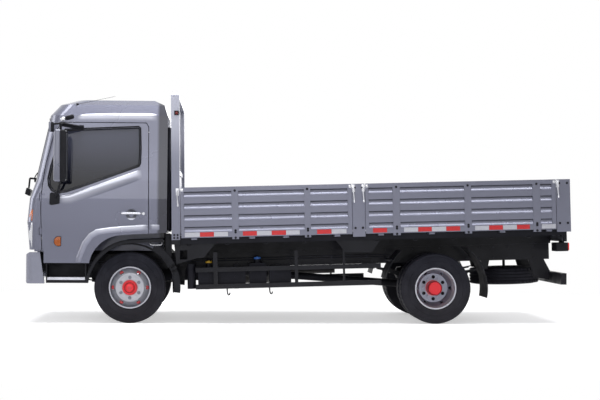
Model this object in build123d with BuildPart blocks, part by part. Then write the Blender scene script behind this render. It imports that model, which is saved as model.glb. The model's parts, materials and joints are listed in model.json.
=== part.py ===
"""Flatbed truck with a tilting cab, folding side gates and twin rear wheels.

Millimetres. +X runs to the rear, +Y to the truck's right, +Z up from the ground.
Lengthwise places are stations: they count from the front axle, plus to the rear.
"""
from build123d import *
import os
from math import cos, radians, sin

os.makedirs("parts", exist_ok=True)

# Whole vehicle
wheelbase = 3360.0
rake = 1.68                 # the frame and bed rise to the rear by this, in degrees
rake_station = 561.0        # the rake turns about this station and height
rake_height = 929.0
kerb_mirror_reach = 1345.0  # from the front axle to the foremost point
rear_overhang = 1486.0      # from the rear axle to the tailgate's outer face
tailgate_outer = wheelbase + rear_overhang
running_gap = 6.0           # between pieces that pass each other
seat_gap = 0.3              # between a piece and its seat

# Wheels and axles
tyre_radius = 390.0         # loaded
tyre_width = 214.0
rim_radius = 229.0
rim_wall = 14.0
front_tyre_y = 825.0
rear_tyre_y = 852.0
twin_spacing = 246.0
stud_circle = 222.25
stud_count = 6
hub_radius = 80.0
spindle_radius = 34.0
kingpin_y = 705.0
kingpin_radius = 18.0
rear_tube_radius = 58.0
banjo_radius = 150.0
front_beam_drop = 70.0
steering_arm = 170.0
tie_rod_height = 285.0
tie_rod_radius = 14.0

# Frame, in the raked system
rail_outer_y = 390.0
rail_height = 180.0
rail_top = 766.0
rail_flange = 60.0
rail_wall = 8.0
rail_front = -1040.0
rail_rear = tailgate_outer - 106
pivot_plate_y = 343.0       # inner faces of the two plates that carry the cab's pivot
boss_inner = 332.0          # inner faces of the two bosses that hold the cab's pivot tube
cab_rest_bottom = 925.0     # underside of the beam that the cab's rear rests on
tow_station = tailgate_outer - 82
tow_pin_radius = 16.0
jaw_bottom = 620.0
jaw_length = 68.0           # over both plates
jaw_plate = 16.0
jaw_radius = 36.0
bumper_front = -1164.0
bumper_bow = 39.0           # the bumper's middle lies this far ahead of its corners
bumper_half = 950.0
bumper_wall = 42.0
bracket_y = 361.0
bracket_wall = 18.0
spring_width = 66.0
spring_leaf = 10.0
front_spring_half = 550.0
rear_spring_half = 650.0

# Bed, in the raked system
bed_half_width = 1050.0
board_thickness = 32.0
board_top = 1483.0
board_bottom = 934.0
hinge_height = 920.0
floor_top = 960.0
floor_plate = 6.0
rim_bottom = 866.0
rear_sill_bottom = 795.0
rim_outer_y = 1010.0
bed_front = 546.0
corrugation_pitch = 127.0
corrugation_depth = 16.0
gusset_y = 992.0            # outer faces of the plates under the bed's sides
gusset_wall = 6.0
hinge_barrel_radius = 9.0
hinge_pin_radius = 5.0
hinge_half = 30.0           # half a hinge barrel's length
lug_width = 10.0
lug_gap = 2.0               # between a lug and the end of its barrel
stake_bottom = 910.0
tail_hinge_station = tailgate_outer - hinge_barrel_radius
headboard_top = 2530.0
headboard_lean = 0.7
pillar_width = 90.0

# Cab, level
cab_half_width = 968.0
cab_wall = 55.0
door_gap = 8.0
cab_rear = 400.0
cab_floor_height = 780.0
cab_floor = 20.0
seat_deck_height = 1005.0
tunnel_half_width = 340.0
tunnel_height = 1110.0
tilt_station = -1072.0
tilt_height = 800.0
tilt_tube_radius = 22.0
tilt_boss_radius = 30.0
door_hinge_station = -966.0
door_hinge_y = 970.0
door_hinge_heights = (1000.0, 1376.0)
door_pin_radius = 6.0
door_barrel_radius = 11.0
door_barrel_half = 34.0     # half a door hinge barrel's height
spring_pin_radius = 9.0
spring_eye_radius = 20.0

# The three systems of planes: level, raked, and the headboard's own lean
box_half_length = (kerb_mirror_reach + tailgate_outer) / 2
front_axle = kerb_mirror_reach - box_half_length
level = Plane((front_axle, 0, 0))


def leaning(angle, station, height):
    """The level system turned about one station and height, so that its rear end rises."""
    run, rise = cos(radians(angle)), sin(radians(angle))
    origin_x = front_axle + station - station * run + height * rise
    origin_z = height - station * rise - height * run
    return Plane((origin_x, 0, origin_z), x_dir=(run, 0, rise), z_dir=(-rise, 0, run))


deck = leaning(rake, rake_station, rake_height)
head = leaning(headboard_lean, rake_station, rake_height)


def side(y, base=level):
    """Upright plane along the truck: x is the station, y the height, and it faces left."""
    return Plane(base.from_local_coords((0, y, 0)), x_dir=base.x_dir, z_dir=-base.y_dir)


def across(station, base=level):
    """Upright plane across the truck: x is the width to the right, y the height."""
    return Plane(base.from_local_coords((station, 0, 0)), x_dir=base.y_dir, z_dir=base.x_dir)


def flat(height, base=level):
    """Flat plane: x is the station, y the width to the right."""
    return Plane(base.from_local_coords((0, 0, height)), x_dir=base.x_dir, z_dir=base.z_dir)


def slab(plane, points, thickness, corner=0.0, mode=Mode.ADD):
    """A plate of an outline drawn on a plane, with rounded corners if asked."""
    with BuildSketch(plane) as outline:
        Polygon(*points, align=None)
        if corner:
            fillet(outline.vertices(), corner)
    extrude(outline.sketch, amount=thickness, mode=mode)


def block(x_range, y_range, z_range, mode=Mode.ADD):
    """A box between two stations, two widths and two heights of the builder's own plane."""
    size = [high - low for low, high in (x_range, y_range, z_range)]
    middle = [(high + low) / 2 for low, high in (x_range, y_range, z_range)]
    with Locations(tuple(middle)):
        Box(*size, mode=mode)


def rod(start, end, radius, base=level, mode=Mode.ADD):
    """A round bar between two points given by station, width and height."""
    first = base.from_local_coords(Vector(*start))
    last = base.from_local_coords(Vector(*end))
    with BuildSketch(Plane(first, z_dir=last - first)) as section:
        Circle(radius)
    extrude(section.sketch, amount=(last - first).length, mode=mode)


def keep(builder, name):
    """Label a finished piece and write its file."""
    builder.part.label = name
    export_step(builder.part, f"parts/{name}.step")


def keep_pair(builder, name):
    """Write a left piece and its mirror image on the right."""
    keep(builder, f"{name}_left")
    with BuildPart() as right:
        mirror(builder.part, about=Plane.XZ)
    keep(right, f"{name}_right")


def both_sides():
    """Add the mirror image of everything in the current builder."""
    mirror(about=Plane.XZ)


# Tyres and rims, all turned about the axle's line
def tyre(station, y):
    """One tyre, turned from its section that runs from bead to bead over the tread."""
    half = tyre_width / 2
    # columns: distance in from the tyre's side, radius
    side_points = ((28, rim_radius + seat_gap), (0, rim_radius + 64), (9, tyre_radius - 18),
                   (27, tyre_radius))
    left = [(y - half + inward, tyre_radius + radius) for inward, radius in side_points]
    right = [(y + half - inward, tyre_radius + radius) for inward, radius in reversed(side_points)]
    with BuildSketch(across(station)) as section:
        Polygon(*left, *right, align=None)
    revolve(section.sketch, axis=wheel_axis(station))


def wheel_axis(station):
    return Axis((front_axle + station, 0, tyre_radius), (0, 1, 0))


def ring(station, profile, mode=Mode.ADD):
    """A turned ring from (width, radius) corners, about the axle at a station."""
    with BuildSketch(across(station)) as section:
        Polygon(*[(y, tyre_radius + r) for y, r in profile], align=None)
    revolve(section.sketch, axis=wheel_axis(station), mode=mode)


def stud_ring(station, y, size, height, radius, count=stud_count, round_bar=False, mode=Mode.ADD):
    """Nuts or holes on a circle round the axle, on a face at a width, pointing left."""
    with BuildSketch(side(y)) as pattern:
        with Locations((station, tyre_radius)):
            with PolarLocations(radius, count):
                if round_bar:
                    Circle(size)
                else:
                    RegularPolygon(size, 6)
    extrude(pattern.sketch, amount=height, mode=mode)


front_face = front_tyre_y + 88      # outer face of the front disc
rear_face = rear_tyre_y - twin_spacing / 2   # where the two rear discs meet
rim_half = 82.0
barrel_inner = rim_radius - rim_wall
stud_radius = stud_circle / 2
hub_bore = spindle_radius + 0.5

with BuildPart() as front_tyre:
    tyre(0, -front_tyre_y)
keep_pair(front_tyre, "front_tyre")

with BuildPart() as front_rim:
    rim_y = -front_tyre_y
    ring(0, [(rim_y - rim_half, rim_radius), (rim_y + rim_half, rim_radius),
             (rim_y + rim_half, barrel_inner), (rim_y - rim_half, barrel_inner)])
    ring(0, [(rim_y - 8, barrel_inner + 1), (rim_y - 24, barrel_inner + 1), (-front_face, 152),
             (-front_face, hub_bore), (-front_face + 22, hub_bore), (-front_face + 10, 148)])
    stud_ring(0, -front_tyre_y + 20, 22, 120, 184, round_bar=True, mode=Mode.SUBTRACT)
    stud_ring(0, -front_face, 17, 22, stud_radius)
    ring(0, [(-front_face, hub_radius), (-front_face - 34, hub_radius - 4),
             (-front_face - 40, hub_radius - 16), (-front_face - 40, hub_bore), (-front_face, hub_bore)])
    ring(0, [(-front_face - 40, hub_bore + 16), (-front_face - 58, hub_bore + 8), (-front_face - 66, 0),
             (-front_face - 28, 0), (-front_face - 28, hub_bore)])
    ring(0, [(-front_face + 22, 130), (-front_face + 22, hub_bore), (-front_tyre_y + 40, hub_bore),
             (-front_tyre_y + 40, 66), (-front_tyre_y - 40, 66), (-front_tyre_y - 40, 148),
             (-front_tyre_y + 60, 158), (-front_tyre_y + 60, 168), (-front_tyre_y - 56, 168)])
keep_pair(front_rim, "front_rim")

with BuildPart() as rear_tyres:
    for twin in (0, 1):
        tyre(wheelbase, -rear_tyre_y + twin * twin_spacing)
keep_pair(rear_tyres, "rear_tyres")

with BuildPart() as rear_rims:
    for facing, rim_y in ((1, -rear_tyre_y), (-1, -rear_tyre_y + twin_spacing)):
        ring(wheelbase, [(rim_y - rim_half, rim_radius), (rim_y + rim_half, rim_radius),
                         (rim_y + rim_half, barrel_inner), (rim_y - rim_half, barrel_inner)])
        ring(wheelbase, [(rim_y + facing * 4, barrel_inner + 1), (rim_y + facing * 20, barrel_inner + 1),
                         (-rear_face, 166), (-rear_face, hub_bore + 20),
                         (-rear_face - facing * 12, hub_bore + 20), (-rear_face - facing * 12, 160)])
    stud_ring(wheelbase, -rear_face + 70, 21, 140, 188, round_bar=True, mode=Mode.SUBTRACT)
    stud_ring(wheelbase, -rear_face - 12, 17, 28, stud_radius)
    ring(wheelbase, [(-rear_tyre_y - 44, hub_radius - 10), (-rear_tyre_y - 50, hub_radius - 18),
                     (-rear_tyre_y - 50, 0), (-rear_tyre_y - 34, 0), (-rear_tyre_y - 34, hub_bore),
                     (-560, hub_bore), (-560, 66), (-rear_face + 12, 66), (-rear_face + 12, hub_radius),
                     (-rear_tyre_y - 20, hub_radius)])
    ring(wheelbase, [(-rear_face + 12, 60), (-rear_face + 12, 150), (-556, 158), (-556, 170),
                     (-rear_face + 12, 170), (-rear_face + 12, 172), (-rear_face, 172), (-rear_face, 60)])
keep_pair(rear_rims, "rear_rims")

# Front axle: a dropped beam, with a boss at each end for the kingpin
beam_end = tyre_radius + 40
with BuildPart() as front_axle_beam:
    half = kingpin_y - 30
    low, deep = tyre_radius - front_beam_drop, 74
    with BuildSketch(across(-34)):
        Polygon((-half, beam_end), (-half, beam_end - 80), (-half + 90, beam_end - 80),
                (-half + 170, low - deep / 2), (half - 170, low - deep / 2), (half - 90, beam_end - 80),
                (half, beam_end - 80), (half, beam_end), (half - 120, beam_end),
                (half - 210, low + deep / 2), (-half + 210, low + deep / 2), (-half + 120, beam_end),
                align=None)
    extrude(amount=68)
    for face in (-34, 34 - 24):
        with BuildSketch(across(face)):
            Polygon((-half + 200, low - 18), (half - 200, low - 18), (half - 215, low + 18),
                    (-half + 215, low + 18), align=None)
        extrude(amount=24, mode=Mode.SUBTRACT)
    for y in (-kingpin_y, kingpin_y):
        rod((0, y, beam_end - 86), (0, y, beam_end + 4), 42)
        rod((0, y, beam_end - 90), (0, y, beam_end + 8), kingpin_radius + 0.5, mode=Mode.SUBTRACT)
keep(front_axle_beam, "front_axle")

# Steering knuckle: a yoke round the boss, the kingpin, the spindle and the arms
with BuildPart() as knuckle:
    y = -kingpin_y
    top, bottom = beam_end + 4 + 2, beam_end - 86 - 2
    rod((0, y, bottom - 34), (0, y, bottom), 38)
    rod((0, y, top), (0, y, top + 34), 38)
    rod((0, y, bottom - 34), (0, y, top + 34), kingpin_radius)
    with BuildSketch(across(-34)):
        Polygon((y, bottom - 34), (y, bottom), (y - 50, bottom), (y - 50, top), (y, top), (y, top + 34),
                (y - 52, top + 34), (y - 74, top), (y - 74, bottom), (y - 52, bottom - 34), align=None)
    extrude(amount=68)
    rod((0, y - 60, tyre_radius), (0, -front_face - 24, tyre_radius), spindle_radius)
    rod((0, y - 60, tyre_radius), (0, y - 76, tyre_radius), 140)
    slab(flat(bottom - 34), [(-30, y - 34), (-30, y + 30), (40, y + 34),
                            (steering_arm + 22, y + 20), (steering_arm + 22, y - 20),
                            (50, y - 30)], 20)
    rod((steering_arm, y, bottom - 35), (steering_arm, y, bottom - 13), 10.5, mode=Mode.SUBTRACT)
keep_pair(knuckle, "steering_knuckle")

tie_end_y = kingpin_y       # so that the arms and the rod keep a parallelogram
with BuildPart() as tie_rod:
    rod((steering_arm, -tie_end_y, tie_rod_height), (steering_arm, tie_end_y, tie_rod_height), tie_rod_radius)
    for y in (-tie_end_y, tie_end_y):
        rod((steering_arm, y, tie_rod_height - 20), (steering_arm, y, beam_end - 86 - 2 - 34 - 1), 22)
        rod((steering_arm, y, tie_rod_height), (steering_arm, y, beam_end - 86 - 2 - 34 + 18), 9.5)
keep(tie_rod, "tie_rod")

# Rear axle: banjo housing, tubes and spindles
with BuildPart() as rear_axle:
    with BuildSketch(across(wheelbase)):
        with BuildLine():
            Polyline((-150, tyre_radius), (-545, tyre_radius), (-545, tyre_radius + rear_tube_radius),
                     (-230, tyre_radius + rear_tube_radius))
            Line((-230, tyre_radius + rear_tube_radius), (-90, tyre_radius + banjo_radius))
            Line((-90, tyre_radius + banjo_radius), (90, tyre_radius + banjo_radius))
            Line((90, tyre_radius + banjo_radius), (230, tyre_radius + rear_tube_radius))
            Polyline((230, tyre_radius + rear_tube_radius), (545, tyre_radius + rear_tube_radius),
                     (545, tyre_radius), (-150, tyre_radius))
        make_face()
    revolve(axis=wheel_axis(wheelbase))
    for sign in (-1, 1):
        rod((wheelbase, sign * 540, tyre_radius), (wheelbase, sign * (rear_tyre_y + 30), tyre_radius),
            spindle_radius)
        rod((wheelbase, sign * 538, tyre_radius), (wheelbase, sign * 548, tyre_radius), 160)
        block_y = sign * (rail_outer_y - spring_width / 2 - 4)
        with Locations((front_axle + wheelbase, block_y, tyre_radius + 40)):
            Box(120, spring_width, 60)
    rod((wheelbase - banjo_radius - 60, 0, tyre_radius), (wheelbase, 0, tyre_radius), 70)
keep(rear_axle, "rear_axle")
rear_seat = tyre_radius + 70
front_seat = tyre_radius - front_beam_drop + 37
spring_y = rail_outer_y - spring_width / 2 - 4


def leaf_pack(station, seat, half_length, rise, leaves):
    """A pack of curved leaves on one side; each lower leaf is shorter and seats on the axle."""
    for leaf in range(leaves):
        half = half_length * (1 - 0.82 * leaf / leaves)
        low = seat + (leaves - 1 - leaf) * spring_leaf
        tip = low + rise * (half / half_length) ** 2
        with BuildSketch(side(-spring_y + spring_width / 2)) as leaf_shape:
            with BuildLine():
                ThreePointArc((station - half, tip), (station, low), (station + half, tip))
                Line((station + half, tip), (station + half, tip + spring_leaf))
                ThreePointArc((station + half, tip + spring_leaf), (station, low + spring_leaf),
                              (station - half, tip + spring_leaf))
                Line((station - half, tip + spring_leaf), (station - half, tip))
            make_face()
        extrude(leaf_shape.sketch, amount=spring_width)
    eye = seat + (leaves - 1) * spring_leaf + rise + spring_leaf
    for end in (station - half_length, station + half_length):
        near, far = (end, -spring_y - spring_width / 2, eye), (end, -spring_y + spring_width / 2, eye)
        rod(near, far, spring_eye_radius)
        rod(near, far, spring_pin_radius + seat_gap, mode=Mode.SUBTRACT)
    return eye


with BuildPart() as leaf_springs:
    front_eye = leaf_pack(0, front_seat, front_spring_half, 62, 5)
    rear_eye = leaf_pack(wheelbase, rear_seat, rear_spring_half, 76, 8)
    both_sides()
keep(leaf_springs, "leaf_springs")

# Frame: two channel rails, cross members, spring hangers, cab pivot and rear cab support
cross_members = (-1000, 930, 1560, 2480, wheelbase - 340, wheelbase + 340, rail_rear - 40)
with BuildPart(deck) as chassis_frame:
    inner = rail_outer_y - rail_flange
    web = rail_outer_y - rail_wall
    bottom = rail_top - rail_height
    with BuildSketch(across(rail_front, deck)):
        Polygon((-inner, rail_top), (-rail_outer_y, rail_top), (-rail_outer_y, bottom), (-inner, bottom),
                (-inner, bottom + rail_wall), (-web, bottom + rail_wall), (-web, rail_top - rail_wall),
                (-inner, rail_top - rail_wall), align=None)
    extrude(amount=rail_rear - rail_front)
    hanger_inner = -spring_y + spring_width / 2 + 2
    hanger_outer = -spring_y - spring_width / 2 - 2
    hanger_wall = 10
    for station, eye in ((-front_spring_half, front_eye), (front_spring_half, front_eye),
                         (wheelbase - rear_spring_half, rear_eye), (wheelbase + rear_spring_half, rear_eye)):
        local = deck.to_local_coords(Vector(front_axle + station, 0, eye))
        for cheek in (hanger_outer, hanger_inner + hanger_wall):
            slab(side(cheek, deck), [(local.X - 26, local.Z - 26), (local.X + 26, local.Z - 26),
                                     (local.X + 46, bottom - 5), (local.X - 46, bottom - 5)], hanger_wall)
        block((local.X - 46, local.X + 46), (hanger_outer - hanger_wall, hanger_inner + hanger_wall),
              (bottom - 10, bottom))
        rod((local.X, hanger_outer - hanger_wall, local.Z), (local.X, hanger_inner + hanger_wall, local.Z),
            spring_pin_radius, base=deck)
    pivot = deck.to_local_coords(Vector(front_axle + tilt_station, 0, tilt_height))
    slab(side(-pivot_plate_y, deck), [(rail_front, bottom + 10), (rail_front + 60, rail_top - 1),
                                      (pivot.X + 22, pivot.Z - 22), (pivot.X - 8, pivot.Z - 26),
                                      (rail_front - 12, rail_top - 60)], 18)
    rod((pivot.X, -boss_inner - 40, pivot.Z), (pivot.X, -boss_inner, pivot.Z), tilt_boss_radius, base=deck)
    bracket_share = (bracket_y + bracket_wall) / (bumper_half - bumper_wall)
    bracket_tip = bumper_front + bumper_wall + bumper_bow * bracket_share ** 2 + seat_gap
    slab(side(-bracket_y), [(bracket_tip, 540), (-1020, 560), (-1020, 690), (bracket_tip, 690)],
         bracket_wall)
    block((352, 388), (-rail_outer_y, -rail_outer_y + 50), (rail_top - 2, cab_rest_bottom - seat_gap))
    both_sides()
    for station in cross_members:
        reach = (pivot_plate_y if station == cross_members[0] else web) - seat_gap
        block((station - 30, station + 30), (-reach, reach), (bottom + 30, rail_top - 30))
    rod((tilt_station, -boss_inner + seat_gap, tilt_height), (tilt_station, boss_inner - seat_gap, tilt_height),
        tilt_tube_radius)
    block((352, 388), (-rail_outer_y, rail_outer_y), (cab_rest_bottom, cab_rest_bottom + 50))
    # Tow jaw: two plates on the last cross member, bored for a pin
    jaw_root = cross_members[-1] + 30
    for plate in (jaw_bottom, jaw_bottom + jaw_length - jaw_plate):
        block((jaw_root - 1, tow_station), (-jaw_radius, jaw_radius), (plate, plate + jaw_plate))
        rod((tow_station, 0, plate), (tow_station, 0, plate + jaw_plate), jaw_radius, base=deck)
    block((jaw_root - 1, jaw_root + 12), (-jaw_radius, jaw_radius), (jaw_bottom, jaw_bottom + jaw_length))
    rod((tow_station, 0, jaw_bottom - 1), (tow_station, 0, jaw_bottom + jaw_length + 1), tow_pin_radius,
        base=deck, mode=Mode.SUBTRACT)
keep(chassis_frame, "chassis_frame")

# Engine with its gearbox as one plain mass, and the shaft to the rear axle
with BuildPart(level) as engine:
    block((-470, 300), (-285, 285), (430, 1060))
    block((300, 860), (-170, 170), (440, 760))
    block((-140, -60), (-rail_outer_y + rail_wall + seat_gap, rail_outer_y - rail_wall - seat_gap), (600, 660))
    rod((860, 0, 560), (wheelbase - banjo_radius - 66, 0, tyre_radius + 10), 42)
keep(engine, "engine_block")

# Cab body: sections from the floor to the roof, each with a bowed front and rounded corners
# columns: height, front at the middle, front at the side, half width, rear, front and rear corner
cab_sections = (
    (640, -1122, -1070, cab_half_width, cab_rear, 90, 60),
    (811, -1140, -1086, cab_half_width, cab_rear, 90, 60),
    (1100, -1166, -1112, cab_half_width + 2, cab_rear, 90, 60),
    (1359, -1142, -1084, cab_half_width + 2, cab_rear, 95, 60),
    (1560, -1092, -1010, cab_half_width - 4, cab_rear, 130, 70),
    (2270, -950, -868, cab_half_width - 88, cab_rear, 150, 90),
    (2392, -850, -760, cab_half_width - 150, cab_rear - 40, 150, 110),
    (2448, -640, -600, cab_half_width - 250, cab_rear - 150, 150, 110),
)


def cab_form(inset):
    """The cab's closed outer form, drawn in on all sides by a wall's thickness."""
    top = cab_sections[-1][0]
    with BuildPart() as form:
        for height, middle, edge, half, rear, front_corner, rear_corner in cab_sections:
            level_height = height - inset * (0.4 if height < top else 1.0) if height > 2200 else height
            half, rear = half - inset, rear - inset
            with BuildSketch(flat(level_height)) as plan:
                with BuildLine():
                    ThreePointArc((edge + inset, -half), (middle + inset, 0), (edge + inset, half))
                    Polyline((edge + inset, half), (rear, half), (rear, -half), (edge + inset, -half))
                make_face()
                corners = plan.vertices().sort_by(Axis.X)
                fillet(corners[:2], front_corner - min(inset, 40) / 2)
                fillet(corners[2:], rear_corner - min(inset, 40) / 2)
        loft(ruled=True)
    return form.part


# Outlines of the cab's side, as stations and heights
underside_front = 800.0
sill_height = 657.0
arch_start, arch_middle, arch_top, arch_rear = (-440, sill_height), (-330, 862), (-121, 960), (53, 973)
door_outline = ((-954, 800), (-946, 600), (207, 600), (207, 983), (196, 2150), (168, 2196), (-760, 2196),
                (-844, 2043), (-927, 1708), (-966, 1383), (-969, 1233))
window_outline = ((-852, 1716), (-880, 1580), (-874, 1500), (-843, 1450), (-795, 1428), (-695, 1439),
                  (-546, 1489), (84, 1721), (98, 1748), (102, 1900), (94, 2130), (80, 2142),
                  (-332, 2124), (-712, 2105), (-742, 2085))


def prism(plane, points, depth, grow=0.0, corner=0.0):
    """A long prism of an outline, grown or shrunk, for cutting and keeping."""
    with BuildPart() as tool:
        with BuildSketch(plane) as outline:
            Polygon(*points, align=None)
            if corner:
                fillet(outline.vertices(), corner)
            if grow:
                offset(amount=grow, kind=Kind.INTERSECTION)
        extrude(amount=depth)
    return tool.part


side_plane = side(-cab_half_width + 260)
side_depth = 400.0
cab_outer = cab_form(0)
cab_inner = cab_form(cab_wall)
glass_outer = cab_form(18)
glass_inner = cab_form(24)
door_solid = prism(side_plane, door_outline, side_depth)
window_solid = prism(side_plane, window_outline, side_depth)
screen_outline = ((-838, 1606), (838, 1606), (790, 2222), (-790, 2222))
screen_solid = prism(across(-1300), screen_outline, 620, corner=55)
rear_light_outline = ((-520, 1640), (520, 1640), (500, 2060), (-500, 2060))
rear_light_solid = prism(across(300), rear_light_outline, 120, corner=50)
lamp_outline = ((-905, 815), (-540, 850), (-600, 1000), (-640, 1150), (-910, 1225))
lamp_solid = prism(across(-1300), lamp_outline, 460)
grille_outline = ((-500, 860), (500, 860), (540, 1010), (520, 1160), (-520, 1160), (-540, 1010))
grille_solid = prism(across(-1300), grille_outline, 460)

floor_half = cab_half_width - cab_wall - 10
pan_front = -1034
deck_edge = -430
wall_in = cab_rear - cab_wall + 1
tunnel_front = -600
with BuildPart(level) as floor_pan:
    block((pan_front, deck_edge), (-floor_half, floor_half), (cab_floor_height, cab_floor_height + cab_floor))
    block((pan_front, pan_front + 62), (-cab_half_width + 30, cab_half_width - 30),
          (cab_floor_height, cab_floor_height + cab_floor))
    block((deck_edge - cab_floor, deck_edge), (-floor_half, floor_half), (cab_floor_height, seat_deck_height))
    block((deck_edge - cab_floor, wall_in), (-floor_half, floor_half),
          (seat_deck_height, seat_deck_height + cab_floor))
    block((tunnel_front - cab_floor, wall_in), (-tunnel_half_width - cab_floor, tunnel_half_width + cab_floor),
          (cab_floor_height, tunnel_height + cab_floor))
    block((tunnel_front, wall_in), (-tunnel_half_width, tunnel_half_width), (600, tunnel_height),
          mode=Mode.SUBTRACT)
    for y in (-290, 290):
        block((tilt_station, pan_front + 60), (y - 30, y + 30), (cab_floor_height - 10, cab_floor_height + 20))
        rod((tilt_station, y - 30, tilt_height), (tilt_station, y + 30, tilt_height), tilt_boss_radius + 2)
        rod((tilt_station, y - 34, tilt_height), (tilt_station, y + 34, tilt_height), tilt_tube_radius + 1,
            mode=Mode.SUBTRACT)
    for rib in range(-3, 4):
        block((cab_rear - 2, cab_rear + 10), (rib * 200 - 22, rib * 200 + 22), (1080, 1560))
tunnel_solid = prism(across(tunnel_front), ((-tunnel_half_width, 600), (tunnel_half_width, 600),
                                            (tunnel_half_width, tunnel_height),
                                            (-tunnel_half_width, tunnel_height)), 1100)

with BuildPart() as underside:
    with BuildSketch(side(1200)):
        with BuildLine():
            Polyline((-1400, underside_front), (-930, underside_front), (-930, sill_height), arch_start)
            ThreePointArc(arch_start, arch_middle, arch_top)
            Polyline(arch_top, arch_rear, (332, 988), (600, 988), (600, 300), (-1400, 300),
                     (-1400, underside_front))
        make_face()
    extrude(amount=2400)

with BuildPart() as cab_shell:
    add(cab_outer)
    add(cab_inner, mode=Mode.SUBTRACT)
    add(underside.part, mode=Mode.SUBTRACT)
    for cut in (door_solid, lamp_solid):
        add(cut, mode=Mode.SUBTRACT)
        mirror(cut, about=Plane.XZ, mode=Mode.SUBTRACT)
    for cut in (screen_solid, rear_light_solid, grille_solid, tunnel_solid):
        add(cut, mode=Mode.SUBTRACT)
    rod((tilt_station, -410, tilt_height), (tilt_station, 410, tilt_height), tilt_boss_radius + running_gap,
        mode=Mode.SUBTRACT)
    add(floor_pan.part)
    for y in (-door_hinge_y, door_hinge_y):
        for height in door_hinge_heights:
            pocket = door_barrel_half + running_gap
            rod((door_hinge_station, y, height - pocket), (door_hinge_station, y, height + pocket),
                door_barrel_radius + running_gap, mode=Mode.SUBTRACT)
            rod((door_hinge_station, y, height - pocket - 16), (door_hinge_station, y, height + pocket + 16),
                door_pin_radius)
keep(cab_shell, "cab_shell")

# Doors: the cab's own wall inside the door cut, with a running gap all round
door_body = prism(side_plane, door_outline, side_depth, grow=-door_gap)
with BuildPart() as door:
    add(cab_outer)
    add(cab_inner, mode=Mode.SUBTRACT)
    add(door_body, mode=Mode.INTERSECT)
    add(underside.part, mode=Mode.SUBTRACT)
    add(window_solid, mode=Mode.SUBTRACT)
    for height in door_hinge_heights:
        low, high = height - door_barrel_half, height + door_barrel_half
        with BuildSketch(flat(low)) as hinge_leaf:
            with Locations((door_hinge_station, -door_hinge_y)):
                Circle(door_barrel_radius)
            with Locations((door_hinge_station + 24, -door_hinge_y + 5)):
                Rectangle(48, 8)
        extrude(hinge_leaf.sketch, amount=high - low)
        rod((door_hinge_station, -door_hinge_y, low), (door_hinge_station, -door_hinge_y, high),
            door_pin_radius + seat_gap, mode=Mode.SUBTRACT)
keep_pair(door, "door")

pane_solid = prism(side_plane, window_outline, side_depth, grow=-seat_gap)
with BuildPart() as door_glass:
    add(glass_outer)
    add(glass_inner, mode=Mode.SUBTRACT)
    add(pane_solid, mode=Mode.INTERSECT)
keep_pair(door_glass, "door_glass")

with BuildPart() as rear_pane:
    add(glass_outer)
    add(glass_inner, mode=Mode.SUBTRACT)
    add(prism(across(300), rear_light_outline, 120, grow=-seat_gap, corner=50), mode=Mode.INTERSECT)

with BuildPart() as cab_glass:
    add(glass_outer)
    add(glass_inner, mode=Mode.SUBTRACT)
    add(prism(across(-1300), screen_outline, 620, grow=-seat_gap, corner=55), mode=Mode.INTERSECT)
    add(rear_pane.part)
keep(cab_glass, "cab_glass")

with BuildPart() as headlamps:
    add(cab_form(3))
    add(cab_form(cab_wall), mode=Mode.SUBTRACT)
    add(prism(across(-1300), lamp_outline, 460, grow=-seat_gap), mode=Mode.INTERSECT)
    both_sides()
keep(headlamps, "headlamps")

with BuildPart() as grille:
    add(cab_form(8))
    add(cab_form(30), mode=Mode.SUBTRACT)
    add(prism(across(-1300), grille_outline, 460, grow=-seat_gap), mode=Mode.INTERSECT)
    for slot in range(4):
        with BuildSketch(across(-1300)):
            with Locations((0, 905 + slot * 70)):
                Rectangle(920, 34)
        extrude(amount=460, mode=Mode.SUBTRACT)
keep(grille, "grille")

# Bumper: a shell that wraps round both front corners
bumper_outline = ((-1180, 500), (-1112, 433), (-923, 433), (-973, 773), (-1085, 773), (-1180, 715))
with BuildPart() as bumper:
    for inset, mode in ((0, Mode.ADD), (bumper_wall, Mode.SUBTRACT)):
        front, half = bumper_front + inset, bumper_half - inset
        with BuildSketch(flat(430)) as plan:
            with BuildLine():
                ThreePointArc((front + bumper_bow, -half), (front, 0), (front + bumper_bow, half))
                Polyline((front + bumper_bow, half), (-880, half), (-880, -half), (front + bumper_bow, -half))
            make_face()
            fillet(plan.vertices().sort_by(Axis.X)[:2], 80 - inset / 2)
        extrude(amount=360, mode=mode)
    with BuildSketch(side(1000)):
        Polygon(*bumper_outline, align=None)
    extrude(amount=2000, mode=Mode.INTERSECT)
    with BuildSketch(across(-1200)):
        with Locations((0, 560)):
            SlotOverall(900, 110)
        with Locations((-700, 585), (700, 585)):
            Circle(62)
    extrude(amount=150, mode=Mode.SUBTRACT)
keep(bumper, "bumper")

# Steps under the doors and the trim round the wheel arches
with BuildPart(level) as steps:
    block((-905, -470), (-800, -790), (440, cab_floor_height - 0.2))
    block((-905, -470), (-955, -790), (440, 496))
    block((-905, -893), (-955, -790), (440, 648))
    block((-482, -470), (-955, -790), (440, 648))
    with BuildSketch(side(-905)):
        with BuildLine():
            ThreePointArc((-452, 440), (-330, 703), (3, 873))
            Polyline((3, 873), (360, 893), (360, 925), (0, 905))
            ThreePointArc((0, 905), (-352, 725), (-482, 440))
            Line((-482, 440), (-452, 440))
        make_face()
    extrude(amount=55)
    with BuildSketch(side(-430)):
        with BuildLine():
            ThreePointArc((-400, 640), (-250, 812), (3, 894))
            Polyline((3, 894), (360, 905), (360, 925), (0, 912))
            ThreePointArc((0, 912), (-262, 826), (-416, 650))
            Line((-416, 650), (-400, 640))
        make_face()
    extrude(amount=480)
    both_sides()
keep(steps, "steps_and_arches")

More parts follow.
